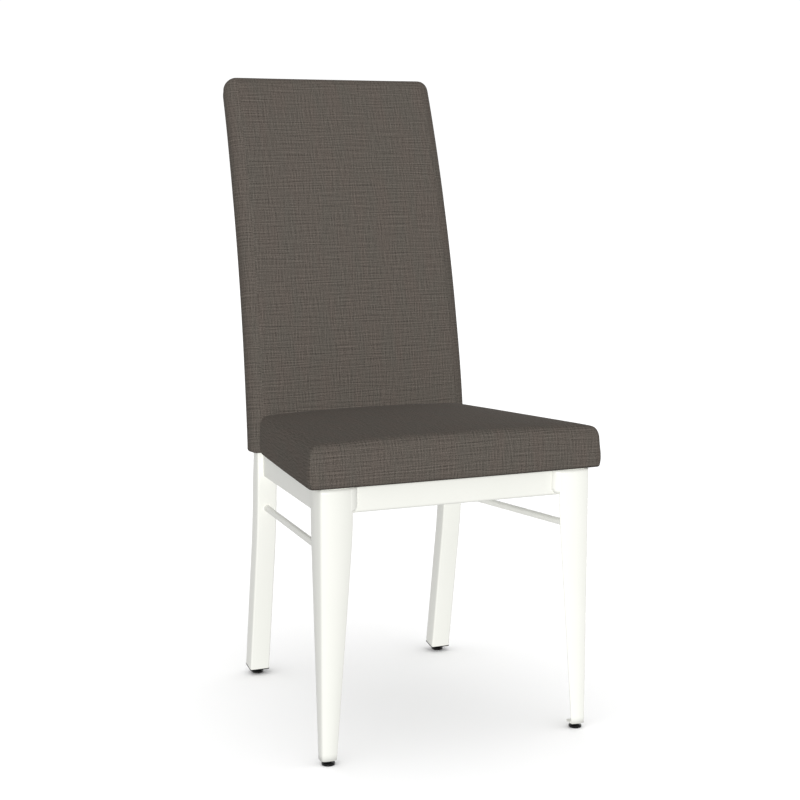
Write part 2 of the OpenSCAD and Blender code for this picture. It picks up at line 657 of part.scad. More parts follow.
// Hole in the cover's foot for an upright
module sleeve_mouth(side) {
    depth = upright_d + 3 * soft_gap;
    translate([side * rear_track / 2 - upright_w / 2 - soft_gap, waist_y - upright_d / 2 - soft_gap,
        back_low_z - back_t])
        cube([upright_w + 2 * soft_gap, depth, back_t + cover_t + soft_gap]);
}

module seat_slab(inset, low, high) {
    translate([0, 0, low]) linear_extrude(high - low) polygon(seat_plan(inset, 4, 0, 0));
}

board_low = cover_t + soft_gap;
board_high = board_low + board_t;
board_inset = cover_t + soft_gap + edge_foot_r;
module at_seat_screws() {
    for (side = [RIGHT, LEFT]) for (front = [true, false]) {
        spot = hole_spot(front);
        translate([side * spot[0], spot[1], 0]) children();
    }
}

module seat_board() {
    color([0.8, 0.68, 0.48]) on_seat() difference() {
        seat_slab(board_inset, board_low, board_high);
        at_seat_screws() translate([0, 0, board_low - 1])
            cylinder(d = tee_barrel_d + 2 * hole_gap, h = board_t + 2, $fn = fine);
        at_seat_screws() translate([0, 0, board_high - tee_flange_t - hole_gap])
            cylinder(d = tee_flange_d + 2 * hole_gap, h = tee_flange_t + 1, $fn = fine);
    }
}

// Tee nuts, let into the board's top, that take the seat screws
tee_barrel_d = screw_d + 2;
tee_flange_t = 1.2;
module tee_nuts() {
    color([0.7, 0.7, 0.72]) on_seat() at_seat_screws() difference() {
        union() {
            translate([0, 0, board_high - tee_flange_t]) cylinder(d = tee_flange_d, h = tee_flange_t, $fn = fine);
            translate([0, 0, board_low + 2]) cylinder(d = tee_barrel_d, h = board_t - 2, $fn = fine);
        }
        translate([0, 0, board_low + 1]) cylinder(d = screw_d + 2 * hole_gap, h = board_t + 2, $fn = fine);
    }
}

head_t = 3;
module seat_screws() {
    color([0.25, 0.25, 0.26]) on_seat() at_seat_screws() {
        translate([0, 0, frame_top - plate_t - head_t]) difference() {
            cylinder(d = screw_head_d, h = head_t, $fn = fine);
            translate([0, 0, -1]) cylinder(d = screw_d * 0.65, h = 2.6, $fn = 6);
        }
        translate([0, 0, frame_top - plate_t - tiny])
            cylinder(d = screw_d, h = board_high - tee_flange_t - frame_top + plate_t, $fn = fine);
    }
}

module seat_foam() {
    color([0.9, 0.87, 0.72]) on_seat() loft(seat_rings(cover_t + soft_gap, board_high + soft_gap));
}

module seat_cover() {
    color(grey_fabric) on_seat() difference() {
        loft(seat_rings(0, 0));
        loft(seat_rings(cover_t, cover_t));
        seat_slab(hem_w, -1, cover_t + 1);
    }
}

module dust_cover() {
    hem_lap = 8;
    color([0.1, 0.1, 0.1]) on_seat() difference() {
        seat_slab(hem_w - hem_lap, -soft_gap - dust_t, -soft_gap);
        at_seat_screws() translate([0, 0, -5]) cylinder(d = screw_d + 1, h = 10, $fn = fine);
    }
}

// Foot of the front leg: a plate in the angle of the sheet, and a nut welded on it
toe_plate_t = 3;
nut_t = 6.5;
foot_x = leg_x - wing_toe_w / 2;
module both_feet() {
    for (side = [RIGHT, LEFT]) mirror([side == RIGHT ? 1 : 0, 0, 0]) children();
}

module toe_plates() {
    x0 = leg_x - wing_toe_w;
    x1 = leg_x - sheet_t;
    y1 = leg_y + side_toe_d;
    arc = [for (i = [0:6]) let (d = sheet_t + (wing_toe_w - sheet_t) * i / 6)
        [leg_x - d, wing_y(d, wing_toe_w) + sheet_t + 0.05]];
    color(white_paint) both_feet() difference() {
        translate([0, 0, leg_clear]) linear_extrude(toe_plate_t)
            polygon(concat(arc, [[x0, y1], [x1, y1]]));
        translate([foot_x, 0, leg_clear - 1])
            cylinder(d = stem_d + 2 * hole_gap, h = toe_plate_t + 2, $fn = fine);
    }
}

module toe_nuts() {
    color(white_paint) both_feet() translate([foot_x, 0, leg_clear + toe_plate_t]) difference() {
        cylinder(d = nut_af / cos(30), h = nut_t, $fn = 6);
        translate([0, 0, -1]) cylinder(d = stem_d + 2 * hole_gap, h = nut_t + 2, $fn = fine);
    }
}

// Plastic insert in the end of a rear leg: flange under the tube, raked plug inside it, stem hole
module rear_insert(side) {
    inner_w = upright_w - 2 * upright_wall - 0.2;
    inner_d = upright_d - 2 * upright_wall - 0.2;
    inner_r = max(upright_r - upright_wall, 0.6);
    x = side * rear_track / 2;
    color([0.06, 0.06, 0.06]) difference() {
        union() {
            translate([x - upright_w / 2, rear_foot_y - upright_d / 2 / cos(rake), leg_clear])
                linear_extrude(flange_t) rounded_rect(upright_w, upright_d / cos(rake), upright_r);
            intersection() {
                translate([x, rear_foot_y, leg_end_z]) rotate([rake, 0, 0])
                    translate([-inner_w / 2, -inner_d / 2, -insert_len])
                    linear_extrude(2 * insert_len) rounded_rect(inner_w, inner_d, inner_r);
                translate([x - upright_w, rear_foot_y - 2 * upright_d, leg_end_z - 0.5])
                    cube([2 * upright_w, 4 * upright_d, insert_len]);
            }
        }
        translate([x, rear_foot_y, leg_clear - 1])
            cylinder(d = stem_d + 2 * hole_gap, h = insert_len + 10, $fn = fine);
    }
}

// Ball stem of a glide, screwed into the foot
neck_d = 4.4;
collar_t = leg_clear - glide_h - 1.2;
module glide_stem(x, y) {
    color([0.75, 0.75, 0.76]) translate([x, y, 0]) {
        translate([0, 0, ball_z]) sphere(d = ball_d, $fn = fine);
        translate([0, 0, ball_z]) cylinder(d = neck_d, h = leg_clear - ball_z, $fn = fine);
        translate([0, 0, leg_clear - collar_t]) cylinder(d = stem_d + 3, h = collar_t, $fn = fine);
        translate([0, 0, leg_clear - tiny]) cylinder(d = stem_d, h = stem_len + tiny, $fn = fine);
    }
}

// Moulded glide: a flat disc with a cone up to the mouth of its ball socket
module glide(x, y) {
    boss_r = ball_d / 2 + 2.3;
    edge = 0.6;
    color([0.05, 0.05, 0.05]) translate([x, y, 0]) difference() {
        rotate_extrude($fn = fine) polygon([[0, 0], [glide_d / 2 - edge, 0], [glide_d / 2, edge],
            [glide_d / 2, glide_rim_h], [boss_r + 1.2, glide_rim_h + 1.1], [boss_r, glide_h], [0, glide_h]]);
        translate([0, 0, ball_z]) sphere(d = ball_d + 2 * ball_gap, $fn = fine);
    }
}

// Everything is placed so that the outline's middle is over the origin
module placed() {
    translate([0, -mid_y, 0]) children();
}
rear_x = rear_track / 2;

placed() front_leg(RIGHT);  // front_leg_right
placed() front_leg(LEFT);  // front_leg_left
placed() toe_plates();
placed() toe_nuts();
placed() front_rail();
placed() rear_rail();
placed() side_rail(RIGHT);  // side_rail_right
placed() side_rail(LEFT);  // side_rail_left
placed() side_rod(RIGHT);  // side_rod_right
placed() side_rod(LEFT);  // side_rod_left
placed() corner_plate(RIGHT, true);  // corner_plate_front_right
placed() corner_plate(LEFT, true);  // corner_plate_front_left
placed() corner_plate(RIGHT, false);  // corner_plate_rear_right
placed() corner_plate(LEFT, false);  // corner_plate_rear_left
placed() rear_leg(RIGHT);  // rear_leg_right
placed() rear_leg(LEFT);  // rear_leg_left
placed() back_upright(RIGHT);  // back_upright_right
placed() back_upright(LEFT);  // back_upright_left
placed() rear_insert(RIGHT);  // rear_insert_right
placed() rear_insert(LEFT);  // rear_insert_left
placed() back_bar(bar_low_z);  // back_bar_low
placed() back_bar(bar_middle_z);  // back_bar_middle
placed() back_bar(bar_top_z);  // back_bar_top
placed() back_board();
placed() back_board_screws();
placed() back_foam();
placed() back_cover();
placed() seat_board();
placed() tee_nuts();
placed() seat_screws();
placed() seat_foam();
placed() seat_cover();
placed() dust_cover();
placed() glide_stem(-foot_x, 0);  // glide_stem_front_right
placed() glide_stem(foot_x, 0);  // glide_stem_front_left
placed() glide_stem(-rear_x, rear_foot_y);  // glide_stem_rear_right
placed() glide_stem(rear_x, rear_foot_y);  // glide_stem_rear_left
placed() glide(-foot_x, 0);  // glide_front_right
placed() glide(foot_x, 0);  // glide_front_left
placed() glide(-rear_x, rear_foot_y);  // glide_rear_right
placed() glide(rear_x, rear_foot_y);  // glide_rear_left
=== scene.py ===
# %% [markdown]
# # High-backed dining chair
# An upholstered seat and back on a welded steel frame with a white powder coat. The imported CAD
# model gives every size and place. This file dresses it: it swaps the plain soft solids for
# cushions of cloth, gives the pressed front legs their rolled edges, draws the bent rear legs a
# little fuller, and finishes every part with a material of its own.

# %% Load the frame
import json
import math

import bpy
import numpy as np
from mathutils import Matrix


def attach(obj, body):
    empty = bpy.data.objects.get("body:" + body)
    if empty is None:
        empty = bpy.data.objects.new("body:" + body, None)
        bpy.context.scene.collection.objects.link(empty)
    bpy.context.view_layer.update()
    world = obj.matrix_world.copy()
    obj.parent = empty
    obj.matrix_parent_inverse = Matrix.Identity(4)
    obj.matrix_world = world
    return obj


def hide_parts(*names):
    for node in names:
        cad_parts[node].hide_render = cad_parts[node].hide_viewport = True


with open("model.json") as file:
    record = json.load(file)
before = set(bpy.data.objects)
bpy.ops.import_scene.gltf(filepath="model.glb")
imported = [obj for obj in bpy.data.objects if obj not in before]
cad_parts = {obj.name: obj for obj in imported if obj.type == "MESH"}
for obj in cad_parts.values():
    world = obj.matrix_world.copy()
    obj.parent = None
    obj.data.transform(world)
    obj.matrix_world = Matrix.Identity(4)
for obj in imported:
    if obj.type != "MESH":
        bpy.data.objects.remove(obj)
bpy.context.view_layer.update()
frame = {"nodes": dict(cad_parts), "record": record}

# %% [markdown]
# ## Sizes
# Sizes are in millimetres and follow the CAD source. Where the photograph asked for a slightly
# different cushion, its widths are given here. The chair faces -Y, the floor is z = 0, and the
# CAD puts its origin MID_Y behind the front glides.

# %% Sizes shared with the CAD
MM = 0.001
MID_Y = 282.48
SEAT_Z, SEAT_TILT, SEAT_EDGE_H, SEAT_CROWN = 423.0, 2.5, 63.5, 8.0
SEAT_Y0, SEAT_Y1, SEAT_W0, SEAT_W1 = -18.0, 382.0, 241.6, 188.2
REAR_PUSH = 7.05
BACK_Y0, BACK_LOW_Z, BACK_T, OVERALL_H = 387.0, 406.5, 52.0, 1036.0
LOW_LEAN, HIGH_LEAN = math.radians(5.2), math.radians(22.4)
BACK_R = (OVERALL_H - BACK_LOW_Z) / (math.sin(HIGH_LEAN) - math.sin(LOW_LEAN))
BACK_W0, BACK_W1, BACK_CROWN = 200.4, 190.9, 4.0
print(f"the back's front face is an arc of radius {BACK_R:.0f} mm")

# %% [markdown]
# ## Camera
# A short telephoto view from the chair's right front corner, a little above the seat. Where it
# stands was worked out from the outline of the chair in the photograph.

# %% Camera
camera = bpy.data.objects.new("camera", bpy.data.cameras.new("camera"))
bpy.context.scene.collection.objects.link(camera)
LOOKS_DOWN, TURNED_TO_X = 8.57, 22.71
camera.location = (-0.9975, -2.1601 - MID_Y * MM, 0.8987)
camera.rotation_euler = (math.radians(90 - LOOKS_DOWN), 0, math.radians(-TURNED_TO_X))
camera.data.lens, camera.data.sensor_width = 72.13, 36
bpy.context.scene.camera = camera
print("camera stands", round(camera.location.length, 2), "m from the chair")

# %% [markdown]
# ## Building meshes
# Every new piece is a grid of points worked out with numpy, so its shape is a formula that can be
# read and changed. Two small helpers turn the arrays into a Blender mesh. The object stays at the
# origin, with its place in its points, as the CAD nodes have it.


# %% Mesh helpers
def piece_from(name, points, faces, uv=None, smooth=True):
    """A mesh object from an (n, 3) array of points in metres and an (m, 4) array of corner numbers;
    uv is an (m, 4, 2) array of cloth coordinates in metres."""
    points = np.asarray(points, float).reshape(-1, 3)
    mesh = bpy.data.meshes.new(name)
    mesh.from_pydata(points.tolist(), [], np.asarray(faces).tolist())
    if uv is not None:
        layer = mesh.uv_layers.new(name="cloth")
        layer.data.foreach_set("uv", np.asarray(uv, float).ravel())
    mesh.polygons.foreach_set("use_smooth", [smooth] * len(mesh.polygons))
    mesh.update()
    piece = bpy.data.objects.new(name, mesh)
    bpy.context.scene.collection.objects.link(piece)
    return piece


def grid_quads(rows, columns, closed=False):
    """Corner numbers of the quads between neighbours on a rows x columns grid; closed joins the last
    column to the first."""
    k = np.arange(columns if closed else columns - 1)
    j = np.arange(rows - 1)[:, None]
    nxt = (k + 1) % columns
    a, b = j * columns + k, j * columns + nxt
    return np.stack([a, b, b + columns, a + columns], -1).reshape(-1, 4)


# %% [markdown]
# ## Padded forms
# A seat or back cushion is a closed bag of cloth: two large faces and a wall round them. The wall
# is a stack of outlines with rounded corners, and each face is a patch stretched across the
# outline's four sides, so the grid stays square everywhere and has no pole in the middle. That
# matters for the cloth simulation, which wants cells of one size, here about 6 mm.

# %% Outlines with rounded corners
CELL = 6.0
ARC_CELLS = 4


def side_lines(corners, insets):
    """Each side moved inwards by its inset: direction, outward normal and the crossings of neighbours."""
    c = np.asarray(corners, float)
    d = np.roll(c, -1, 0) - c
    d /= np.linalg.norm(d, axis=1, keepdims=True)
    out = np.stack([d[:, 1], -d[:, 0]], -1)
    base = c - out * np.asarray(insets, float)[:, None]
    before, way = np.roll(base, 1, 0), np.roll(d, 1, 0)
    gap = before - base
    t = (gap[:, 0] * way[:, 1] - gap[:, 1] * way[:, 0]) / (d[:, 0] * way[:, 1] - d[:, 1] * way[:, 0])
    return d, out, base + d * t[:, None]


def outline(corners, radii, cells, insets=(0, 0, 0, 0), bows=(0, 0, 0, 0)):
    """Closed outline, anticlockwise: side i runs from the middle of corner i's rounding to the middle
    of the next one's. A bow pushes a side outwards by bow * 4t(1 - t). Returns four (n + 1, 2) arrays."""
    d, out, crossing = side_lines(corners, insets)
    heading = np.arctan2(out[:, 1], out[:, 0])
    turn = (heading - np.roll(heading, 1)) % (2 * np.pi)
    least = np.maximum(np.asarray(insets), np.roll(insets, 1))
    r = np.maximum(np.asarray(radii, float) - least, 1.5)
    reach = r * np.tan(turn / 2)
    centre = crossing + d * reach[:, None] - out * r[:, None]
    sides = []
    for i in range(4):
        n = (i + 1) % 4
        first = heading[i] - turn[i] / 2 * np.linspace(1, 0, ARC_CELLS + 1)
        last = heading[i] + turn[n] / 2 * np.linspace(0, 1, ARC_CELLS + 1)
        start = centre[i] + r[i] * np.stack([np.cos(first), np.sin(first)], -1)
        end = centre[n] + r[n] * np.stack([np.cos(last), np.sin(last)], -1)
        t = np.linspace(0, 1, cells[i] - 2 * ARC_CELLS + 1)[1:-1, None]
        middle = start[-1] + (end[0] - start[-1]) * t + out[i] * bows[i] * 4 * t * (1 - t)
        sides.append(np.concatenate([start, middle, end]))
    return sides


def side_share(cells):
    """How much each ring point belongs to each side: all of it along a side, half at a corner's middle."""
    share = []
    for i, n in enumerate(cells):
        s = np.zeros((n + 1, 4))
        blend = np.ones(n + 1)
        ramp = np.linspace(0.5, 1, ARC_CELLS + 1)
        blend[: ARC_CELLS + 1] = ramp
        blend[-ARC_CELLS - 1 :] = ramp[::-1]
        s[:, i] = blend
        s[: ARC_CELLS + 1, i - 1] = 1 - ramp
        s[-ARC_CELLS - 1 :, (i + 1) % 4] = 1 - ramp[::-1]
        share.append(s[:-1])
    return np.concatenate(share)


# %% [markdown]
# The face inside an outline is a Coons patch: a sum of the two blends between opposite sides, less
# the flat patch through the four corners. Cloth coordinates are unfolded as the cover was cut:
# each wall continues the face's own threads, and the four corner seams part them.


# %% Faces stretched across an outline
def patch(sides):
    """Coons patch between four sides of points: blend of front and back, plus blend of left and
    right, less the blend of the corners. Rows run from side 0 to side 2."""
    front, right = sides[0], sides[1]
    rear, left = sides[2][::-1], sides[3][::-1]
    u = np.linspace(0, 1, len(front))[None, :, None]
    v = np.linspace(0, 1, len(right))[:, None, None]
    flat = (front[0] * (1 - u) + front[-1] * u) * (1 - v) + (rear[0] * (1 - u) + rear[-1] * u) * v
    return (front[None] * (1 - v) + rear[None] * v + left[:, None] * (1 - u) + right[:, None] * u) - flat


def wall_cloth(wall, plan, cells, quads):
    """Cloth coordinates of the wall's quads, (count, 4, 2): away from the near face's edge by the
    length of wall in between, and along a side by the ring's own length from the side's middle.
    plan is the near face's edge in metres."""
    m, n = wall.shape[:2]
    fall = np.zeros((m, n))
    fall[:-1] = np.linalg.norm(np.diff(wall, axis=0), axis=2)
    fall = np.cumsum(fall[::-1], 0)[::-1]
    step = np.linalg.norm(wall - np.roll(wall, 1, 1), axis=2)
    run = np.cumsum(step, 1)
    run = np.concatenate([run, run[:, -1:] + step[:, :1]], 1)
    # outward directions of the front, right, rear and left sides
    out = np.array([[0, -1], [1, 0], [0, 1], [-1, 0]])
    side_of = np.repeat(np.arange(4), cells)
    first = np.concatenate([[0], np.cumsum(cells)])
    k, j = quads % n, quads // n
    uv = plan[k]
    for i in range(4):
        here = np.flatnonzero(side_of[k[:, 0]] == i)
        columns = k[here].copy()
        columns[(columns == 0) & (i == 3)] = n
        half = (run[:, first[i]] + run[:, first[i + 1]]) / 2
        along = (run[j[here], columns] - half[j[here]]) * (1, 1, -1, -1)[i]
        edge = plan[first[i] : first[i + 1]]
        away = np.abs(edge @ out[i]).max() + fall[j[here], k[here]]
        lengthwise = 1 - np.abs(out[i])
        uv[here] = lengthwise * (along[..., None] + edge.mean(0)) + out[i] * away[..., None]
    return uv


# %% Padded form
def padded_form(name, rows, cells, near_shape, far_shape, place, painted_shade_rows):
    """Closed padded form. rows are (sides, lifts) from the far face's edge up to the near face's edge:
    four arrays of outline points and a lift for each ring point. near_shape and far_shape give the
    lift over a face from its (x, y) points, and place turns (x, y, lift) into metres on the chair.
    The attribute "fold" is painted shade along the foot, where the cloth turns under: full on the
    first ring, it fades out over as many rows as the last argument gives."""
    rings = [np.concatenate([s[:-1] for s in sides]) for sides, lift in rows]
    wall = place(np.stack([np.column_stack([ring, lift]) for ring, (sides, lift) in zip(rings, rows)]))
    m, n = wall.shape[:2]
    across, up = cells[0], cells[1]
    quads = grid_quads(m, n, closed=True)
    points, faces, count = [wall.reshape(-1, 3)], [quads], m * n
    uvs = [wall_cloth(wall, rings[-1] * MM, cells, quads)]
    # the two faces: their edges are the wall's first and last rings
    for near in (True, False):
        flat = patch(rows[-1 if near else 0][0])
        lift = (near_shape if near else far_shape)(flat)
        body = place(np.concatenate([flat, lift[..., None]], -1))
        index = np.zeros((up + 1, across + 1), int)
        inner = np.arange((up - 1) * (across - 1)).reshape(up - 1, across - 1) + count
        index[1:-1, 1:-1] = inner
        s = np.split(np.arange(n) + (m - 1) * n * near, np.cumsum(cells)[:-1])
        index[0, :-1], index[:-1, -1] = s[0], s[1]
        index[-1, 1:], index[1:, 0] = s[2][::-1], s[3][::-1]
        points.append(body[1:-1, 1:-1].reshape(-1, 3))
        count += inner.size
        q = np.stack([index[:-1, :-1], index[:-1, 1:], index[1:, 1:], index[1:, :-1]], -1)
        t = np.stack([flat[:-1, :-1], flat[:-1, 1:], flat[1:, 1:], flat[1:, :-1]], 2) * MM
        q, t = q.reshape(-1, 4), t.reshape(-1, 4, 2)
        faces.append(q if near else q[:, ::-1])
        uvs.append(t if near else t[:, ::-1])
    piece = piece_from(name, np.concatenate(points), np.concatenate(faces), np.concatenate(uvs))
    # painted shade along the wall's foot, where the cloth turns under, fading out up the first rows
    fold = np.zeros(count, np.float32)
    fold[: n * (painted_shade_rows + 1)] = np.repeat(1 - np.arange(painted_shade_rows + 1) / painted_shade_rows, n) ** 0.5
    piece.data.attributes.new("fold", "FLOAT", "POINT").data.foreach_set("value", fold)
    print(f"{name}: {count} points in cells of about {CELL:.0f} mm")
    return piece


# %% [markdown]
# ## Seat cushion
# The seat is foam on a plywood board, with a cloth cover pulled over it and stapled under the
# board. It is a trapezoid in plan, wider in front, with crisp lower edges, rounder top edges and a
# top that swells a little towards its middle.


# %% Seat form
def seat_place(p):
    """Seat coordinates to the chair's: pushed back with height, turned by the seat's tilt about X,
    lifted to the cushion's underside and moved to the origin."""
    tilt = math.radians(SEAT_TILT)
    x, y, z = p[..., 0], p[..., 1], p[..., 2]
    y = y + REAR_PUSH * (y - SEAT_Y0) / (SEAT_Y1 - SEAT_Y0) * z / SEAT_EDGE_H
    return MM * np.stack([x, y * math.cos(tilt) + z * math.sin(tilt) - MID_Y,
                          SEAT_Z - y * math.sin(tilt) + z * math.cos(tilt)], -1)


def seat_crown(p):
    """Extra height of the cushion: crown * (1 - (x / half width)^2) * (1 - sink v^2), where v goes
    from -1 in front to 1 at the rear."""
    v = (p[..., 1] - (SEAT_Y0 + SEAT_Y1) / 2) / ((SEAT_Y1 - SEAT_Y0) / 2)
    w = SEAT_W0 + (SEAT_W1 - SEAT_W0) * (p[..., 1] - SEAT_Y0) / (SEAT_Y1 - SEAT_Y0)
    return SEAT_CROWN * np.maximum(0, 1 - (p[..., 0] / w) ** 2) * (1 - SEAT_END_SINK * v**2)


SEAT_CORNERS = [[-SEAT_W0, SEAT_Y0], [SEAT_W0, SEAT_Y0], [SEAT_W1, SEAT_Y1], [-SEAT_W1, SEAT_Y1]]
SEAT_CELLS = [76, 66, 76, 66]
SEAT_RADII, SEAT_BOWS = (10, 10, 10, 10), (3, 1, 0, 1)
SEAT_FOOT_R, SEAT_TOP_IN, SEAT_TOP_FALL, SEAT_BULGE, SEAT_END_SINK = 2.2, 14.0, 20.0, 2.0, 0.35


def seat_rows():
    """Rows up the wall as (sides, lifts): a foot rounding, a wall that bulges low down by
    bulge * 27/4 s (1 - s)^2, which peaks at bulge, and a top rounding that is a quarter of an
    ellipse. The crown grows in over the top rounding."""
    wall = np.concatenate([[0.03], np.linspace(0, 1, 8)[1:-1]])
    straight = SEAT_EDGE_H - SEAT_TOP_FALL - SEAT_FOOT_R
    steps = [(SEAT_FOOT_R * (1 - math.sin(a)), SEAT_FOOT_R * (1 - math.cos(a)), 0)
             for a in np.linspace(0, np.pi / 2, 3)]
    steps += [(-SEAT_BULGE * 27 / 4 * s * (1 - s) ** 2, SEAT_FOOT_R + straight * s, 0) for s in wall]
    steps += [(SEAT_TOP_IN * (1 - math.cos(a)), SEAT_EDGE_H - SEAT_TOP_FALL * (1 - math.sin(a)),
               math.sin(a)) for a in np.linspace(0, np.pi / 2, 8)]
    rows = []
    for inset, lift, crown in steps:
        sides = outline(SEAT_CORNERS, SEAT_RADII, SEAT_CELLS, [inset] * 4, SEAT_BOWS)
        ring = np.concatenate([s[:-1] for s in sides])
        rows.append((sides, lift + crown * seat_crown(ring)))
    return rows


seat_cushion = padded_form(
    "seat_upholstery", seat_rows(), SEAT_CELLS,
    lambda p: SEAT_EDGE_H + seat_crown(p), lambda p: np.zeros(p.shape[:-1]), seat_place, painted_shade_rows=3)

# %% [markdown]
# ## Padded back
# The back is a tall slab bent to the sitter's spine: its front is an arc that leans more towards
# its top. The cover is a sleeve sewn up at the back, so the front and the edges are one smooth
# skin. It is the same kind of form as the seat, laid along the arc.

# %% Back form
BACK_TOP_R, BACK_FOOT_R, BACK_EDGE_R = 15.0, 5.0, 21.5
BACK_TOP_REAR_R, BACK_FOOT_REAR_R, BACK_REAR_R = 20.0, 11.0, 26.0
FOOT_RADII, TOP_RADII, FOOT_REAR_RADII, TOP_REAR_RADII = 8, 20, 10, 27
top_lean = math.asin((OVERALL_H - BACK_LOW_Z - BACK_TOP_R + BACK_R * math.sin(LOW_LEAN))
                     / (BACK_R - BACK_TOP_R))
BACK_H = BACK_R * (top_lean - LOW_LEAN) + BACK_TOP_R
BACK_CORNERS = [[-BACK_W0, 0], [BACK_W0, 0], [BACK_W1, BACK_H], [-BACK_W1, BACK_H]]
BACK_CELLS = [64, 106, 64, 106]


def back_place(p):
    """(x, length up the arc, lift from the rear face) to metres on the chair."""
    a = LOW_LEAN + p[..., 1] / BACK_R
    t = BACK_T - p[..., 2]
    y = BACK_Y0 + BACK_R * (math.cos(LOW_LEAN) - np.cos(a)) + t * np.cos(a) - MID_Y
    z = BACK_LOW_Z + BACK_R * (np.sin(a) - math.sin(LOW_LEAN)) - t * np.sin(a)
    return MM * np.stack([p[..., 0], y, z], -1)


def back_swell(p):
    """Swell of the front face: crown * sin(pi * height share) * (1 - (x / half width)^2)."""
    share = np.clip(p[..., 1] / BACK_H, 0, 1)
    w = BACK_W0 + (BACK_W1 - BACK_W0) * share
    return BACK_CROWN * np.sin(np.pi * share) * np.maximum(0, 1 - (p[..., 0] / w) ** 2)


def back_rows():
    """Rows from the rear face's edge to the front face's edge as (sides, lifts): a quarter round, a
    flat wall and another quarter round. The rounding differs by side: foot, side, top, side."""
    share = side_share(BACK_CELLS)
    edge = np.array([BACK_FOOT_R, BACK_EDGE_R, BACK_TOP_R, BACK_EDGE_R])
    rear = np.array([BACK_FOOT_REAR_R, BACK_REAR_R, BACK_TOP_REAR_R, BACK_REAR_R])
    radii = np.array([FOOT_RADII, FOOT_RADII, TOP_RADII, TOP_RADII])
    rear_radii = np.array([FOOT_REAR_RADII, FOOT_REAR_RADII, TOP_REAR_RADII, TOP_REAR_RADII])
    rows = []
    for a in np.linspace(0, np.pi / 2, 6):
        sides = outline(BACK_CORNERS, rear_radii, BACK_CELLS, rear * (1 - math.sin(a)))
        rows.append((sides, share @ (rear * (1 - math.cos(a)))))
    for s in np.linspace(0, 1, 6)[1:-1]:
        sides = outline(BACK_CORNERS, rear_radii * (1 - s) + radii * s, BACK_CELLS)
        rows.append((sides, share @ rear * (1 - s) + (BACK_T - share @ edge) * s))
    for a in np.linspace(0, np.pi / 2, 6):
        sides = outline(BACK_CORNERS, radii, BACK_CELLS, edge * (1 - math.cos(a)))
        ring = np.concatenate([s[:-1] for s in sides])
        lift = BACK_T - share @ (edge * (1 - math.sin(a))) + back_swell(ring) * math.sin(a)
        rows.append((sides, lift))
    return rows


back_cushion = padded_form(
    "back_upholstery", back_rows(), BACK_CELLS,
    lambda p: BACK_T + back_swell(p), lambda p: np.zeros(p.shape[:-1]), back_place, painted_shade_rows=1)

# %% [markdown]
# ## Cloth under pressure
# A real cover is cut a little small and the foam pushes it out, which gives a cushion its slight
# swell between the corners. Blender's cloth does the same: the closed form is filled with
# pressure for 20 frames, without gravity. Each point is then held within a few millimetres of
# where it began, because this foam is firm and the chair's outline is known.


# %% Fill the cushions
def fill(piece, held, reach, pressure=4.0, frames=20):
    """Runs the cloth under pressure, keeps the outward part of each point's way, up to reach (mm),
    and leaves no simulation on the piece, only a subdivision. held is the array of point numbers
    that stay put."""
    mesh = piece.data
    before = np.empty(len(mesh.vertices) * 3)
    mesh.vertices.foreach_get("co", before)
    before = before.reshape(-1, 3)
    group = piece.vertex_groups.new(name="held")
    group.add(held.tolist(), 1.0, "REPLACE")
    cloth = piece.modifiers.new("cloth", "CLOTH")
    cloth.settings.quality = 5
    cloth.settings.mass = 0.3
    cloth.settings.tension_stiffness = cloth.settings.compression_stiffness = 40
    cloth.settings.bending_stiffness = 5
    cloth.settings.use_pressure = True
    cloth.settings.uniform_pressure_force = pressure
    cloth.settings.effector_weights.gravity = 0
    cloth.settings.vertex_group_mass = "held"
    cloth.collision_settings.use_collision = False
    cloth.point_cache.frame_end = frames
    for number in range(1, frames + 1):
        bpy.context.scene.frame_set(number)
    after = np.empty_like(before).ravel()
    done = piece.evaluated_get(bpy.context.evaluated_depsgraph_get())
    done.data.vertices.foreach_get("co", after)
    move = after.reshape(-1, 3) - before
    normal = np.empty_like(after)
    mesh.vertices.foreach_get("normal", normal)
    normal = normal.reshape(-1, 3)
    swell = np.clip(np.sum(move * normal, axis=1), 0, reach * MM)
    swell[held] = 0
    # neighbours share their swell, so that no pinch shows at a corner
    a, b = np.array([edge.vertices[:] for edge in mesh.edges]).T
    for _ in range(30):
        shared, ways = swell.copy(), np.ones(len(swell))
        for here, there in ((a, b), (b, a)):
            np.add.at(shared, here, swell[there])
            np.add.at(ways, here, 1)
        swell = shared / ways
    move = normal * swell[:, None]
    piece.modifiers.remove(cloth)
    piece.vertex_groups.remove(group)
    mesh.vertices.foreach_set("co", (before + move).ravel())
    mesh.update()
    bpy.context.scene.frame_set(1)
    print(f"{piece.name}: the cloth swells by up to {swell.max() / MM:.1f} mm")
    smooth = piece.modifiers.new("subdivision", "SUBSURF")
    smooth.levels = smooth.render_levels = 1


SEAT_HELD_H, BACK_HELD_H, SWELL_REACH = 4.0, 2.0, 3.0
seat_points = np.array([v.co for v in seat_cushion.data.vertices])
under_z = (SEAT_Z + SEAT_HELD_H) * MM - (seat_points[:, 1] + MID_Y * MM) * math.sin(math.radians(SEAT_TILT))
fill(seat_cushion, np.flatnonzero(seat_points[:, 2] < under_z), SWELL_REACH)
back_points = np.array([v.co for v in back_cushion.data.vertices])
fill(back_cushion, np.flatnonzero(back_points[:, 2] < (BACK_LOW_Z + BACK_HELD_H) * MM), SWELL_REACH)

# %% [markdown]
# ## Dust sheet
# Under the seat a black non-woven sheet hides the board and the cover's stapled hem. It is stretched
# between its staples and sags a little where the frame leaves it free.

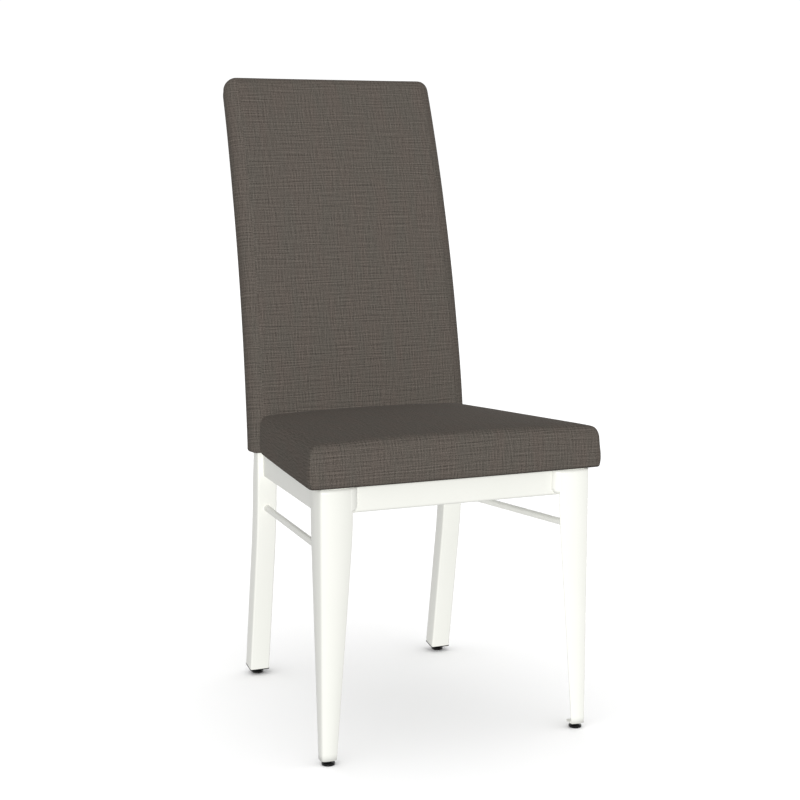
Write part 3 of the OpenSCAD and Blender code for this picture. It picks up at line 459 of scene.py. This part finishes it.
# %% Dust sheet
SHEET_IN, SHEET_DROP, SHEET_SAG = 22.0, 0.6, 0.25
sheet_sides = outline(SEAT_CORNERS, (6, 6, 10, 10), [40, 34, 40, 34], [SHEET_IN] * 4)
flat = patch(sheet_sides)
across = flat[..., 0] / np.abs(flat[:, -1:, 0])
along = 2 * (flat[..., 1] - SEAT_Y0) / (SEAT_Y1 - SEAT_Y0) - 1
drop = SHEET_DROP + SHEET_SAG * np.maximum(0, 1 - across**2) * np.maximum(0, 1 - along**2)
level = seat_place(np.concatenate([flat, -drop[..., None]], -1))
# the quads turn the other way round, so the sheet faces down
dust_sheet = piece_from("dust_sheet", level, grid_quads(*flat.shape[:2])[:, [0, 3, 2, 1]])

# %% [markdown]
# ## Pressed front legs
# Each front leg is one blank of 2 mm sheet, folded once along its height. Both wings bulge a
# little, which makes a thin sheet stiff, and both taper to the foot. The section is worked out as a
# closed line (outside face, rolled edge, inside face, rolled edge) and carried up the leg.

# %% Front leg section
LEG_X, LEG_Y, SHEET_T = 220.6, -6.6, 2.0
WING_TOP, WING_TOE, SIDE_TOP, SIDE_TOE = 47.6, 20.2, 40.5, 15.0
WING_SWELL, SIDE_SWELL, FOLD_REACH = 0.09, 0.06, 1.56
LEG_CLEAR, TAPER_Z, EASE, LEG_TOP_Z = 8.0, 356.0, 0.08, 420.78
RAIL_FRONT, TAB_REACH, TAB_H, TAB_R, TAB_ROLL = 1.0, 9.3, 37.0, 6.0, 4.5
TAB_LAP, TAB_AHEAD, TAB_BEND, TAB_SINK, TAB_TOP_GAP = 2.0, 0.9, 2.0, 0.5, 0.3


def leg_taper(z):
    """Share of the taper at a height: straight, with a parabola where it ends."""
    s = (z - LEG_CLEAR) / (TAPER_Z - LEG_CLEAR)
    eased = 1 - (1 + EASE - s) ** 2 / (4 * EASE)
    return np.where(s < 1 - EASE, s, np.where(s > 1 + EASE, 1.0, eased))


def bend_curve(start, bend, end, t):
    """Quadratic curve from start to end: start (1 - t)^2 + 2 bend t (1 - t) + end t^2."""
    return start * (1 - t) ** 2 + 2 * bend * t * (1 - t) + end * t**2


def leg_outside(z, n_side=12, n_fold=7, n_wing=20):
    """Outside line of the sheet at heights z, as (rows, points, 2): side wing from its rear edge,
    the fold, then the front wing to its inner edge. Each wing swells by
    swell * width * (1 - (2 s - 1)^2), where s is the share of its width gone from the fold."""
    share = leg_taper(z)[:, None]
    w, d = WING_TOE + (WING_TOP - WING_TOE) * share, SIDE_TOE + (SIDE_TOP - SIDE_TOE) * share
    s = np.linspace(1, 0, n_side)[None]
    side_d = FOLD_REACH + (d - FOLD_REACH) * s
    side = np.stack([LEG_X + SIDE_SWELL * d * (1 - (2 * side_d / d - 1) ** 2), LEG_Y + side_d], -1)
    s = np.linspace(0, 1, n_wing)[None]
    wing_d = FOLD_REACH + (w - FOLD_REACH) * s
    wing = np.stack([LEG_X - wing_d, LEG_Y - WING_SWELL * w * (1 - (2 * wing_d / w - 1) ** 2)], -1)
    # the fold bends from the side wing to the front wing, drawn to their crossing
    t = np.linspace(0, 1, n_fold)[None, 1:-1, None]
    fold = bend_curve(side[:, -1:], np.array([LEG_X, LEG_Y]), wing[:, :1], t)
    return np.concatenate([side, fold, wing], 1)


def sheet_loop(line):
    """Closed loop round a sheet whose outside is the line: the line, a rolled edge, the line moved
    in by the sheet's thickness, and the other rolled edge."""
    way = np.gradient(line, axis=1)
    way /= np.linalg.norm(way, axis=2, keepdims=True)
    inward = np.stack([-way[..., 1], way[..., 0]], -1)
    inside = line + inward * SHEET_T
    a = np.linspace(0, np.pi, 7)[1:-1][None, :, None]
    r = SHEET_T / 2

    def edge(at, sign):
        middle = line[:, at : at + 1 or None] + inward[:, at : at + 1 or None] * r
        n, w = inward[:, at : at + 1 or None], way[:, at : at + 1 or None]
        return middle - sign * n * r * np.cos(a) + sign * w * r * np.sin(a)

    return np.concatenate([line, edge(-1, 1), inside[:, ::-1], edge(0, -1)], 1)


# rows lie closer where the taper ends
heights = np.concatenate([np.linspace(LEG_CLEAR, TAPER_Z - 34, 30),
                          np.linspace(TAPER_Z - 30, TAPER_Z + 30, 16),
                          np.linspace(TAPER_Z + 34, LEG_TOP_Z, 6)])
section = sheet_loop(leg_outside(heights))
print("front leg section:", section.shape[1], "points at", section.shape[0], "heights")


# %% Front legs
def tab_rows(count=18):
    """The rolled tab beside the rail as rows of a closed sheet, (rows, points, 3). Its line bends
    back from the wing to the rail. Its lower corner is an arc, so each point of the line has its
    own lowest height, and its lower edge rolls back to the rail by the share 1 - sqrt(1 - f^2),
    where f grows from 0 to 1 over the last TAB_ROLL mm."""
    edge = LEG_X - WING_TOP
    start, bend, end = np.array([[edge + TAB_LAP, LEG_Y - TAB_AHEAD],
                                 [edge - TAB_REACH + 1, LEG_Y + TAB_BEND],
                                 [edge - TAB_REACH, RAIL_FRONT - TAB_SINK]])
    loop = sheet_loop(bend_curve(start, bend, end, np.linspace(0, 1, 14)[:, None])[None])[0]
    from_end = np.clip(loop[:, 0] - (edge - TAB_REACH), 0, TAB_R)
    low = LEG_TOP_Z - TAB_H + TAB_R - np.sqrt(TAB_R**2 - (TAB_R - from_end) ** 2)
    share = np.linspace(0, 1, count)[:, None] ** 2
    z = low + (LEG_TOP_Z - TAB_TOP_GAP - low) * share
    rows = np.concatenate([np.broadcast_to(loop, (count,) + loop.shape), z[..., None]], -1)
    f = np.clip(1 - (z - low) / TAB_ROLL, 0, 1)
    rows[..., 1] += np.maximum(0, RAIL_FRONT + 1 - rows[..., 1]) * (1 - np.sqrt(1 - f**2))
    return rows


def closed_sheet(rows):
    """Faces of a closed loop carried through rows, with the loop's outside half joined to its
    inside half at both ends."""
    m, n = rows.shape[:2]
    k = np.arange(n // 2 - 1)
    ends = np.stack([k, k + 1, n - 2 - k, n - 1 - k], -1)
    return np.concatenate([grid_quads(m, n, closed=True), ends[:, ::-1], ends + (m - 1) * n])


def stand_for(piece, node):
    """The piece takes the place of a CAD node on the chair."""
    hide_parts(node)
    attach(piece, "chair")
    return piece


def front_leg(name, side):
    """The section carried up the heights and the tab beside it, mirrored for the sitter's right."""
    rows, n = section.shape[:2]
    wings = np.concatenate([section, np.broadcast_to(heights[:, None, None], (rows, n, 1))], 2)
    tab = tab_rows()
    points = np.concatenate([wings.reshape(-1, 3), tab.reshape(-1, 3)]) - np.array([0, MID_Y, 0])
    points[:, 0] *= side
    faces = np.concatenate([closed_sheet(wings), closed_sheet(tab) + rows * n])
    if side > 0:
        faces = faces[:, ::-1]
    return stand_for(piece_from(name, points * MM, faces), name)


front_legs = [front_leg("front_leg_right", -1), front_leg("front_leg_left", 1)]

# %% [markdown]
# ## Rear legs
# Each rear leg is a rectangular tube. Its foot rakes back in a straight line, and two long arcs that
# meet at the waist carry it up into the padded back. The tube is drawn a little fuller than in the
# CAD, as the photograph asks, and slims to the CAD's size where it enters the cushion. Its end is
# cut square to the tube, and a black insert with a thin flange closes it.

# %% Rear legs
REAR_X, WAIST_Y, WAIST_Z, LEG_END_Z = 174.1, 404.4, 385.0, 10.0
RAKE, UPPER_TURN = math.radians(10.8), math.radians(10.4)
LOW_BEND_R, HIGH_BEND_R = 860.0, 700.0
TUBE_W, TUBE_D, TUBE_R = 32.0, 25.0, 3.2
FULLER_SIDE, FULLER_FRONT, FULLER_REAR, FULLER_TO_Z, SLIMS_OVER = 1.3, 2.8, 2.6, 404.0, 50.0
END_RAISE, FLANGE_T, FLANGE_OUT, PLUG_IN, PLUG_LEN = 2.6, 1.7, 0.3, 1.7, 14.0
BOSS_R, BOSS_Z, STEM_HOLE_R = 9.0, 8.2, 4.2


def rear_leg_line():
    """Centre line as (y, z, lean) rows: the raked foot, y = y0 - (z - z0) tan(rake), then two arcs
    about centres behind the waist, y = waist + r (1 - cos a), z = waist -/+ r sin a."""
    low = np.linspace(RAKE, 0, 24)
    high = np.linspace(0, UPPER_TURN, 18)[1:]
    below = [WAIST_Y + LOW_BEND_R * (1 - np.cos(low)), WAIST_Z - LOW_BEND_R * np.sin(low), low]
    above = [WAIST_Y + HIGH_BEND_R * (1 - np.cos(high)), WAIST_Z + HIGH_BEND_R * np.sin(high), -high]
    arc = np.concatenate([np.stack(below, -1), np.stack(above, -1)])
    z = np.linspace(LEG_END_Z, arc[0, 1], 9)[:-1]
    foot = np.stack([arc[0, 0] + (arc[0, 1] - z) * math.tan(RAKE), z, np.full(len(z), RAKE)], -1)
    return np.concatenate([foot, arc])


def tube_section(full, count=6):
    """Section of the tube, anticlockwise from above: (x, depth) points of a rectangle with rounded
    corners, which grows from the CAD's size to the fuller one as full goes from 0 to 1."""
    a = np.linspace(0, np.pi / 2, count)
    x = TUBE_W / 2 + FULLER_SIDE * full - TUBE_R
    y = [TUBE_R - TUBE_D / 2 - FULLER_FRONT * full, TUBE_D / 2 + FULLER_REAR * full - TUBE_R]
    corners = [(x, y[0], -np.pi / 2), (x, y[1], 0), (-x, y[1], np.pi / 2), (-x, y[0], np.pi)]
    return np.concatenate([np.stack([cx + TUBE_R * np.cos(a + turn), cy + TUBE_R * np.sin(a + turn)], -1)
                           for cx, cy, turn in corners])


def tube_end(depth, below=0.0):
    """(dy, z) of the square-cut end at a depth across the tube, moved `below` mm down the tube:
    dy = depth cos(rake) + s sin(rake), z = z0 + depth sin(rake) - s cos(rake), s = below - raise."""
    s = below - END_RAISE
    return (depth * math.cos(RAKE) + s * math.sin(RAKE),
            LEG_END_Z + depth * math.sin(RAKE) - s * math.cos(RAKE))


def rear_leg(name, side):
    """The section carried up the line. The lowest ring lies in the end plane."""
    rings = []
    for y, z, lean in rear_leg_line():
        ring = tube_section(min(1, max(0, (FULLER_TO_Z - z) / SLIMS_OVER)))
        depth = ring[:, 1]
        if z == LEG_END_Z:
            dy, height = tube_end(depth)
            dz = height - z
        else:
            dy, dz = depth * math.cos(lean), depth * math.sin(lean)
        rings.append(np.stack([REAR_X + ring[:, 0], y - MID_Y + dy, z + dz], -1))
    rings = np.array(rings)
    faces = closed_sheet(rings)
    points = rings.reshape(-1, 3) * [side, 1, 1]
    leg = piece_from(name, points * MM, faces if side > 0 else faces[:, ::-1])
    return stand_for(leg, name)


def rear_insert(name, side):
    """Rings of one closed piece: flange under the tube, plug inside it, the stem's hole through
    both, and a round boss under the flange. The last ring joins the first."""
    across, depth = tube_section(1).T
    angle = np.arctan2(depth, across)
    foot_y = rear_leg_line()[0, 0] - MID_Y

    def tube_ring(inset, below):
        scale = 1 - inset / np.hypot(across, depth)
        dy, z = tube_end(depth * scale, below)
        return np.stack([REAR_X + across * scale, foot_y + dy, z], -1)

    def round_ring(radius, below=None):
        """In the cut plane moved down by below, or level at the boss's underside."""
        y = radius * np.sin(angle)
        z = np.full(len(y), BOSS_Z) if below is None else tube_end(y, below)[1]
        return np.stack([REAR_X + radius * np.cos(angle), foot_y + y, z], -1)

    rings = np.array([
        tube_ring(-FLANGE_OUT, FLANGE_T), tube_ring(-FLANGE_OUT, 0),
        tube_ring(PLUG_IN, 0), tube_ring(PLUG_IN, -PLUG_LEN), round_ring(STEM_HOLE_R, -PLUG_LEN),
        round_ring(STEM_HOLE_R), round_ring(BOSS_R), round_ring(BOSS_R, FLANGE_T)])
    m, n = rings.shape[:2]
    faces = grid_quads(m + 1, n, closed=True) % (m * n)
    points = rings.reshape(-1, 3) * [side, 1, 1]
    insert = piece_from(name, points * MM, faces if side > 0 else faces[:, ::-1], smooth=False)
    return stand_for(insert, name)


rear_inserts = [rear_insert("rear_insert_right", -1), rear_insert("rear_insert_left", 1)]
rear_legs = [rear_leg("rear_leg_right", -1), rear_leg("rear_leg_left", 1)]
for leg in rear_legs:
    split = leg.modifiers.new("crisp ends", "EDGE_SPLIT")
    split.split_angle = math.radians(50)
print("rear legs:", [len(leg.data.polygons) for leg in rear_legs], "faces each")

# %% [markdown]
# ## Who carries what
# Every piece rides on a body of the CAD model, and stands for the plain solids that it replaces.

for cushion, nodes in ((seat_cushion, ("seat_cover", "seat_foam")),
                       (back_cushion, ("back_cover", "back_foam"))):
    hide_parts(*nodes)
    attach(cushion, "chair")
stand_for(dust_sheet, "dust_cover")

# %% [markdown]
# ## Materials
# Colours are written as sRGB hex values, as they are read off a picture, and one function turns
# them into the linear values that the renderer works with.


# %% Material helpers
def colour(hex_code):
    """sRGB hex to linear RGBA: v / 12.92 below 0.04045, else ((v + 0.055) / 1.055) ^ 2.4."""
    v = [int(hex_code[i : i + 2], 16) / 255 for i in (1, 3, 5)]
    return [c / 12.92 if c < 0.04045 else ((c + 0.055) / 1.055) ** 2.4 for c in v] + [1.0]


def add(tree, kind, links=None, **settings):
    """Adds a node; settings are its own properties, and links fill its inputs with sockets or values."""
    node = tree.nodes.new(kind)
    for key, value in settings.items():
        setattr(node, key, value)
    for key, value in (links or {}).items():
        if isinstance(value, bpy.types.NodeSocket):
            tree.links.new(value, node.inputs[key])
        else:
            node.inputs[key].default_value = value
    return node


def material(name):
    """A new material with an empty node tree and its output."""
    made = bpy.data.materials.new(name)
    made.use_nodes = True
    made.node_tree.nodes.clear()
    return made, made.node_tree


def finish_with(tree, links):
    """Closes a tree with a Principled surface that has these inputs."""
    surface = add(tree, "ShaderNodeBsdfPrincipled", links)
    add(tree, "ShaderNodeOutputMaterial", {"Surface": surface.outputs[0]})


def grain_of(tree, scale, kind="ShaderNodeTexNoise", **inputs):
    """A texture of this kind and scale that sits still on its piece, in the object's coordinates."""
    place = add(tree, "ShaderNodeTexCoord").outputs["Object"]
    return add(tree, kind, {"Vector": place, "Scale": scale, **inputs}).outputs[0]


def relief_of(tree, height, strength, distance):
    """The surface's normal when it is raised by height times this distance in metres."""
    return add(tree, "ShaderNodeBump", {"Height": height, "Strength": strength,
                                        "Distance": distance}).outputs[0]


def mix_of(tree, share, low, high):
    """The colour that runs from hex low to hex high as the share goes from 0 to 1."""
    return add(tree, "ShaderNodeMix", {0: share, 6: colour(low), 7: colour(high)},
               data_type="RGBA").outputs[2]


# %% [markdown]
# ### Upholstery
# A taupe basket weave: pairs of yarns, 2.6 mm wide together, cross over and under each other like a
# chequered board. Each yarn has its own light and dark stretches along its length, because it is
# spun unevenly, and the seams between the pairs are painted a little darker, as shade in their
# hollows. The dye drifts a little between two taupes in soft upright patches.

# %% Upholstery
upholstery, tree = material("taupe_basket_weave")
cloth = add(tree, "ShaderNodeUVMap", uv_map="cloth").outputs[0]
YARN = 1.3
# streaks as (length, width, strength), grains and dye patches as (width, height), all in mm
WEFT_STREAK, WARP_STREAK, GRAIN, PATCH = (60.0, 2.2, 1.4), (26.0, 2.5, 1.05), (1.6, 1.2), (26.0, 110.0)


def math_node(kind, *values):
    """One Math node with these values or sockets."""
    return add(tree, "ShaderNodeMath", dict(enumerate(values)), operation=kind).outputs[0]


def noise_at(x, y, detail, roughness=0.6):
    """Noise at (x, y), where both are sockets or numbers, in grains of size 1."""
    place = add(tree, "ShaderNodeCombineXYZ", {"X": x, "Y": y}).outputs[0]
    return add(tree, "ShaderNodeTexNoise", {"Vector": place, "Scale": 1.0, "Detail": detail,
                                            "Roughness": roughness}).outputs["Fac"]


def spread(value, low, high, to_low, to_high):
    """Maps low..high to to_low..to_high."""
    return add(tree, "ShaderNodeMapRange", {"Value": value, "From Min": low, "From Max": high,
                                            "To Min": to_low, "To Max": to_high}).outputs[0]


axes = add(tree, "ShaderNodeSeparateXYZ", {"Vector": cloth})
u_mm, v_mm = [math_node("MULTIPLY", axes.outputs[i], 1000.0) for i in (0, 1)]
column, row = math_node("DIVIDE", u_mm, 2 * YARN), math_node("DIVIDE", v_mm, 2 * YARN)
i, j = math_node("FLOOR", column), math_node("FLOOR", row)
# 0 where a pair of weft yarns lies on top, 1 where a pair of warp yarns does
over = math_node("MULTIPLY", math_node("FRACT", math_node("MULTIPLY", math_node("ADD", i, j), 0.5)), 2.0)


def streaks(along, across, length, step, strength):
    """Thin light and dark threads, 0 on average: strength times the noise half a step to one side
    less the noise half a step to the other, so that neighbours differ and no wide bands appear."""
    a, b = [noise_at(math_node("DIVIDE", along, length),
                     math_node("DIVIDE", math_node("ADD", across, side * step / 2), step), 1.0, 0.4)
            for side in (1, -1)]
    return math_node("MULTIPLY", math_node("SUBTRACT", a, b), strength)


def blots(size, detail):
    """Noise over the cloth in grains of this (width, height) in mm."""
    return noise_at(math_node("DIVIDE", u_mm, size[0]), math_node("DIVIDE", v_mm, size[1]), detail)


# %% Colour and relief of the weave
top = add(tree, "ShaderNodeMix", {0: spread(over, 0.0, 1.0, 0.25, 0.75),
                                  2: streaks(u_mm, v_mm, *WEFT_STREAK),
                                  3: streaks(v_mm, u_mm, *WARP_STREAK)}, data_type="FLOAT").outputs[0]
# height of the pairs, 1 along their middles and lower in the seams between them
dips = [math_node("POWER", math_node("PINGPONG", math_node("ADD", c, 0.5), 0.5), 2.0)
        for c in (column, row)]
height = math_node("SUBTRACT", 1.0, math_node("MULTIPLY", math_node("ADD", *dips), 1.6))
shade = math_node("ADD", top, spread(blots(GRAIN, 2.0), 0.3, 0.7, 0.62, 1.38))
# painted shade: the seams between the pairs are darkened by their depth, the middles lightened a little
shade = math_node("MULTIPLY", shade, spread(height, 0.2, 1.0, 0.7, 1.1))
hue = mix_of(tree, spread(blots(PATCH, 1.0), 0.36, 0.64, 0.0, 1.0), "#5D5650", "#5B5650")
# painted shade: the cloth is darkened along the fold where it turns under the board
fold = add(tree, "ShaderNodeAttribute", attribute_name="fold").outputs["Fac"]
shade = math_node("MULTIPLY", shade, spread(fold, 0.0, 1.0, 1.0, 0.45))
dyed = add(tree, "ShaderNodeVectorMath", {0: hue, "Scale": shade}, operation="SCALE").outputs[0]
relief = relief_of(tree, height, 0.25, 0.0004)
finish_with(tree, {"Base Color": dyed, "Roughness": 0.95, "Normal": relief, "Specular IOR Level": 0.05,
                   "Sheen Weight": 0.035, "Sheen Roughness": 0.5, "Sheen Tint": colour("#B0A8A0")})
for cushion in (seat_cushion, back_cushion):
    cushion.data.materials.append(upholstery)

# %% [markdown]
# ### Frame paint
# A warm white powder coat: smooth and satin, with the faint orange peel that the melted powder
# leaves, a few tenths of a millimetre wide.

# %% Frame paint
frame_paint, tree = material("white_powder_coat")
relief = relief_of(tree, grain_of(tree, 900.0, Detail=1.0), 0.12, 0.0001)
paint = mix_of(tree, grain_of(tree, 14.0, Detail=2.0), "#E8E9E2", "#ECECE6")
finish_with(tree, {"Base Color": paint, "Roughness": 0.38, "Normal": relief, "IOR": 1.5})

# %% Other finishes
black_plastic, tree = material("black_moulded_nylon")
relief = relief_of(tree, grain_of(tree, 1500.0), 0.1, 0.0001)
finish_with(tree, {"Base Color": colour("#060606"), "Roughness": 0.35, "Normal": relief,
                   "Specular IOR Level": 0.18})

zinc, tree = material("zinc_plated_steel")
rough = add(tree, "ShaderNodeMapRange", {"Value": grain_of(tree, 700.0), "To Min": 0.28, "To Max": 0.45})
finish_with(tree, {"Base Color": colour("#B9BABC"), "Metallic": 1.0, "Roughness": rough.outputs[0]})

black_steel, tree = material("black_oxide_steel")
rough = add(tree, "ShaderNodeMapRange", {"Value": grain_of(tree, 900.0), "To Min": 0.35, "To Max": 0.5})
finish_with(tree, {"Base Color": colour("#2C2C2E"), "Metallic": 0.6, "Roughness": rough.outputs[0]})

plywood, tree = material("poplar_plywood")
place = add(tree, "ShaderNodeTexCoord").outputs["Object"]
where = add(tree, "ShaderNodeMapping", {"Vector": place, "Scale": (60, 6, 60)}).outputs[0]
grain = add(tree, "ShaderNodeTexNoise", {"Vector": where, "Scale": 5.0, "Detail": 4.0}).outputs["Fac"]
finish_with(tree, {"Base Color": mix_of(tree, grain, "#C9A677", "#DCC196"), "Roughness": 0.7})

foam, tree = material("cream_moulded_foam")
relief = relief_of(tree, grain_of(tree, 1200.0, "ShaderNodeTexVoronoi"), 0.5, 0.0004)
finish_with(tree, {"Base Color": colour("#E8DDB8"), "Roughness": 0.9, "Normal": relief})

dust_cloth, tree = material("black_spunbond_cloth")
relief = relief_of(tree, grain_of(tree, 900.0, "ShaderNodeTexVoronoi"), 0.3, 0.0002)
finish_with(tree, {"Base Color": colour("#1B1B1C"), "Roughness": 0.85, "Normal": relief})

# %% Put the finishes on
SLOT_FINISH = {"frame_paint": frame_paint, "black_plastic": black_plastic, "zinc_steel": zinc,
               "black_steel": black_steel, "plywood": plywood, "dust_cloth": dust_cloth,
               "upholstery": upholstery, "foam": foam}
node_slot = {part["node"]: part["material_slot"] for part in frame["record"]["subparts"]}
for name, part in frame["nodes"].items():
    part.data.materials.clear()
    part.data.materials.append(SLOT_FINISH[node_slot[name]])
for leg in front_legs + rear_legs:
    leg.data.materials.append(frame_paint)
for insert in rear_inserts:
    insert.data.materials.append(black_plastic)
dust_sheet.data.materials.append(dust_cloth)
print("finished", len(frame["nodes"]), "CAD nodes in", len(SLOT_FINISH), "finishes")

# %% [markdown]
# ## Studio
# The photograph has a pure white ground with only a soft shadow under the seat. The floor is white
# and has an overhead light of its own, so it stays white without washing out the chair. A broad
# key light from near the camera shapes the chair, and a weaker light from behind keeps the far
# sides readable. Two small fills lift the side rod and the front leg on the sitter's left.

# %% Floor and light
floor = piece_from("floor", [[-30, -30, 0], [30, -30, 0], [30, 30, 0], [-30, 30, 0]], [[0, 1, 2, 3]])
floor_white, tree = material("white_paper_floor")
finish_with(tree, {"Base Color": colour("#F7F7F7"), "Roughness": 0.9, "Specular IOR Level": 0.0})
floor.data.materials.append(floor_white)
floor.visible_diffuse = False
floor.visible_glossy = False

scene = bpy.context.scene
scene.view_settings.view_transform = "Standard"
world = bpy.data.worlds.new("studio")
scene.world = world
world.use_nodes = True
tree = world.node_tree
tree.nodes.clear()
seen = add(tree, "ShaderNodeBackground", {"Color": (1, 1, 1, 1), "Strength": 1.05})
lit = add(tree, "ShaderNodeBackground", {"Color": (1, 1, 1, 1), "Strength": 0.38})
ray = add(tree, "ShaderNodeLightPath")
seen_or_mirrored = add(tree, "ShaderNodeMath", {0: ray.outputs["Is Camera Ray"],
                                                1: ray.outputs["Is Glossy Ray"]},
                       operation="MAXIMUM").outputs[0]
mixed = add(tree, "ShaderNodeMixShader", {0: seen_or_mirrored, 1: lit.outputs[0], 2: seen.outputs[0]})
add(tree, "ShaderNodeOutputWorld", {"Surface": mixed.outputs[0]})


def sun(name, strength, width, azimuth, elevation, receivers, shadow=False):
    """A far light of this strength, width degrees across, from azimuth (0 is -Y, turning to -X) and
    elevation in degrees, that lights only the receivers."""
    lamp = bpy.data.lights.new(name, "SUN")
    lamp.energy, lamp.angle, lamp.use_shadow = strength, math.radians(width), shadow
    light = bpy.data.objects.new(name, lamp)
    light.rotation_euler = (math.radians(90 - elevation), 0, math.radians(-azimuth))
    scene.collection.objects.link(light)
    group = bpy.data.collections.new(name + "_receivers")
    for thing in receivers:
        group.objects.link(thing)
    light.light_linking.receiver_collection = group


chair_pieces = [o for o in scene.objects if o.type == "MESH" and o != floor]
sun("key_light", 2.65, 25, 23, 12, chair_pieces)
sun("rear_fill", 1.0, 50, 235, 0, chair_pieces)
sun("left_rod_fill", 0.5, 40, 80, -10, [frame["nodes"]["side_rod_left"]])
sun("left_leg_fill", 0.24, 40, -15, 5, [front_legs[1]])
sun("floor_light", 2.8, 140, 0, 90, [floor], shadow=True)
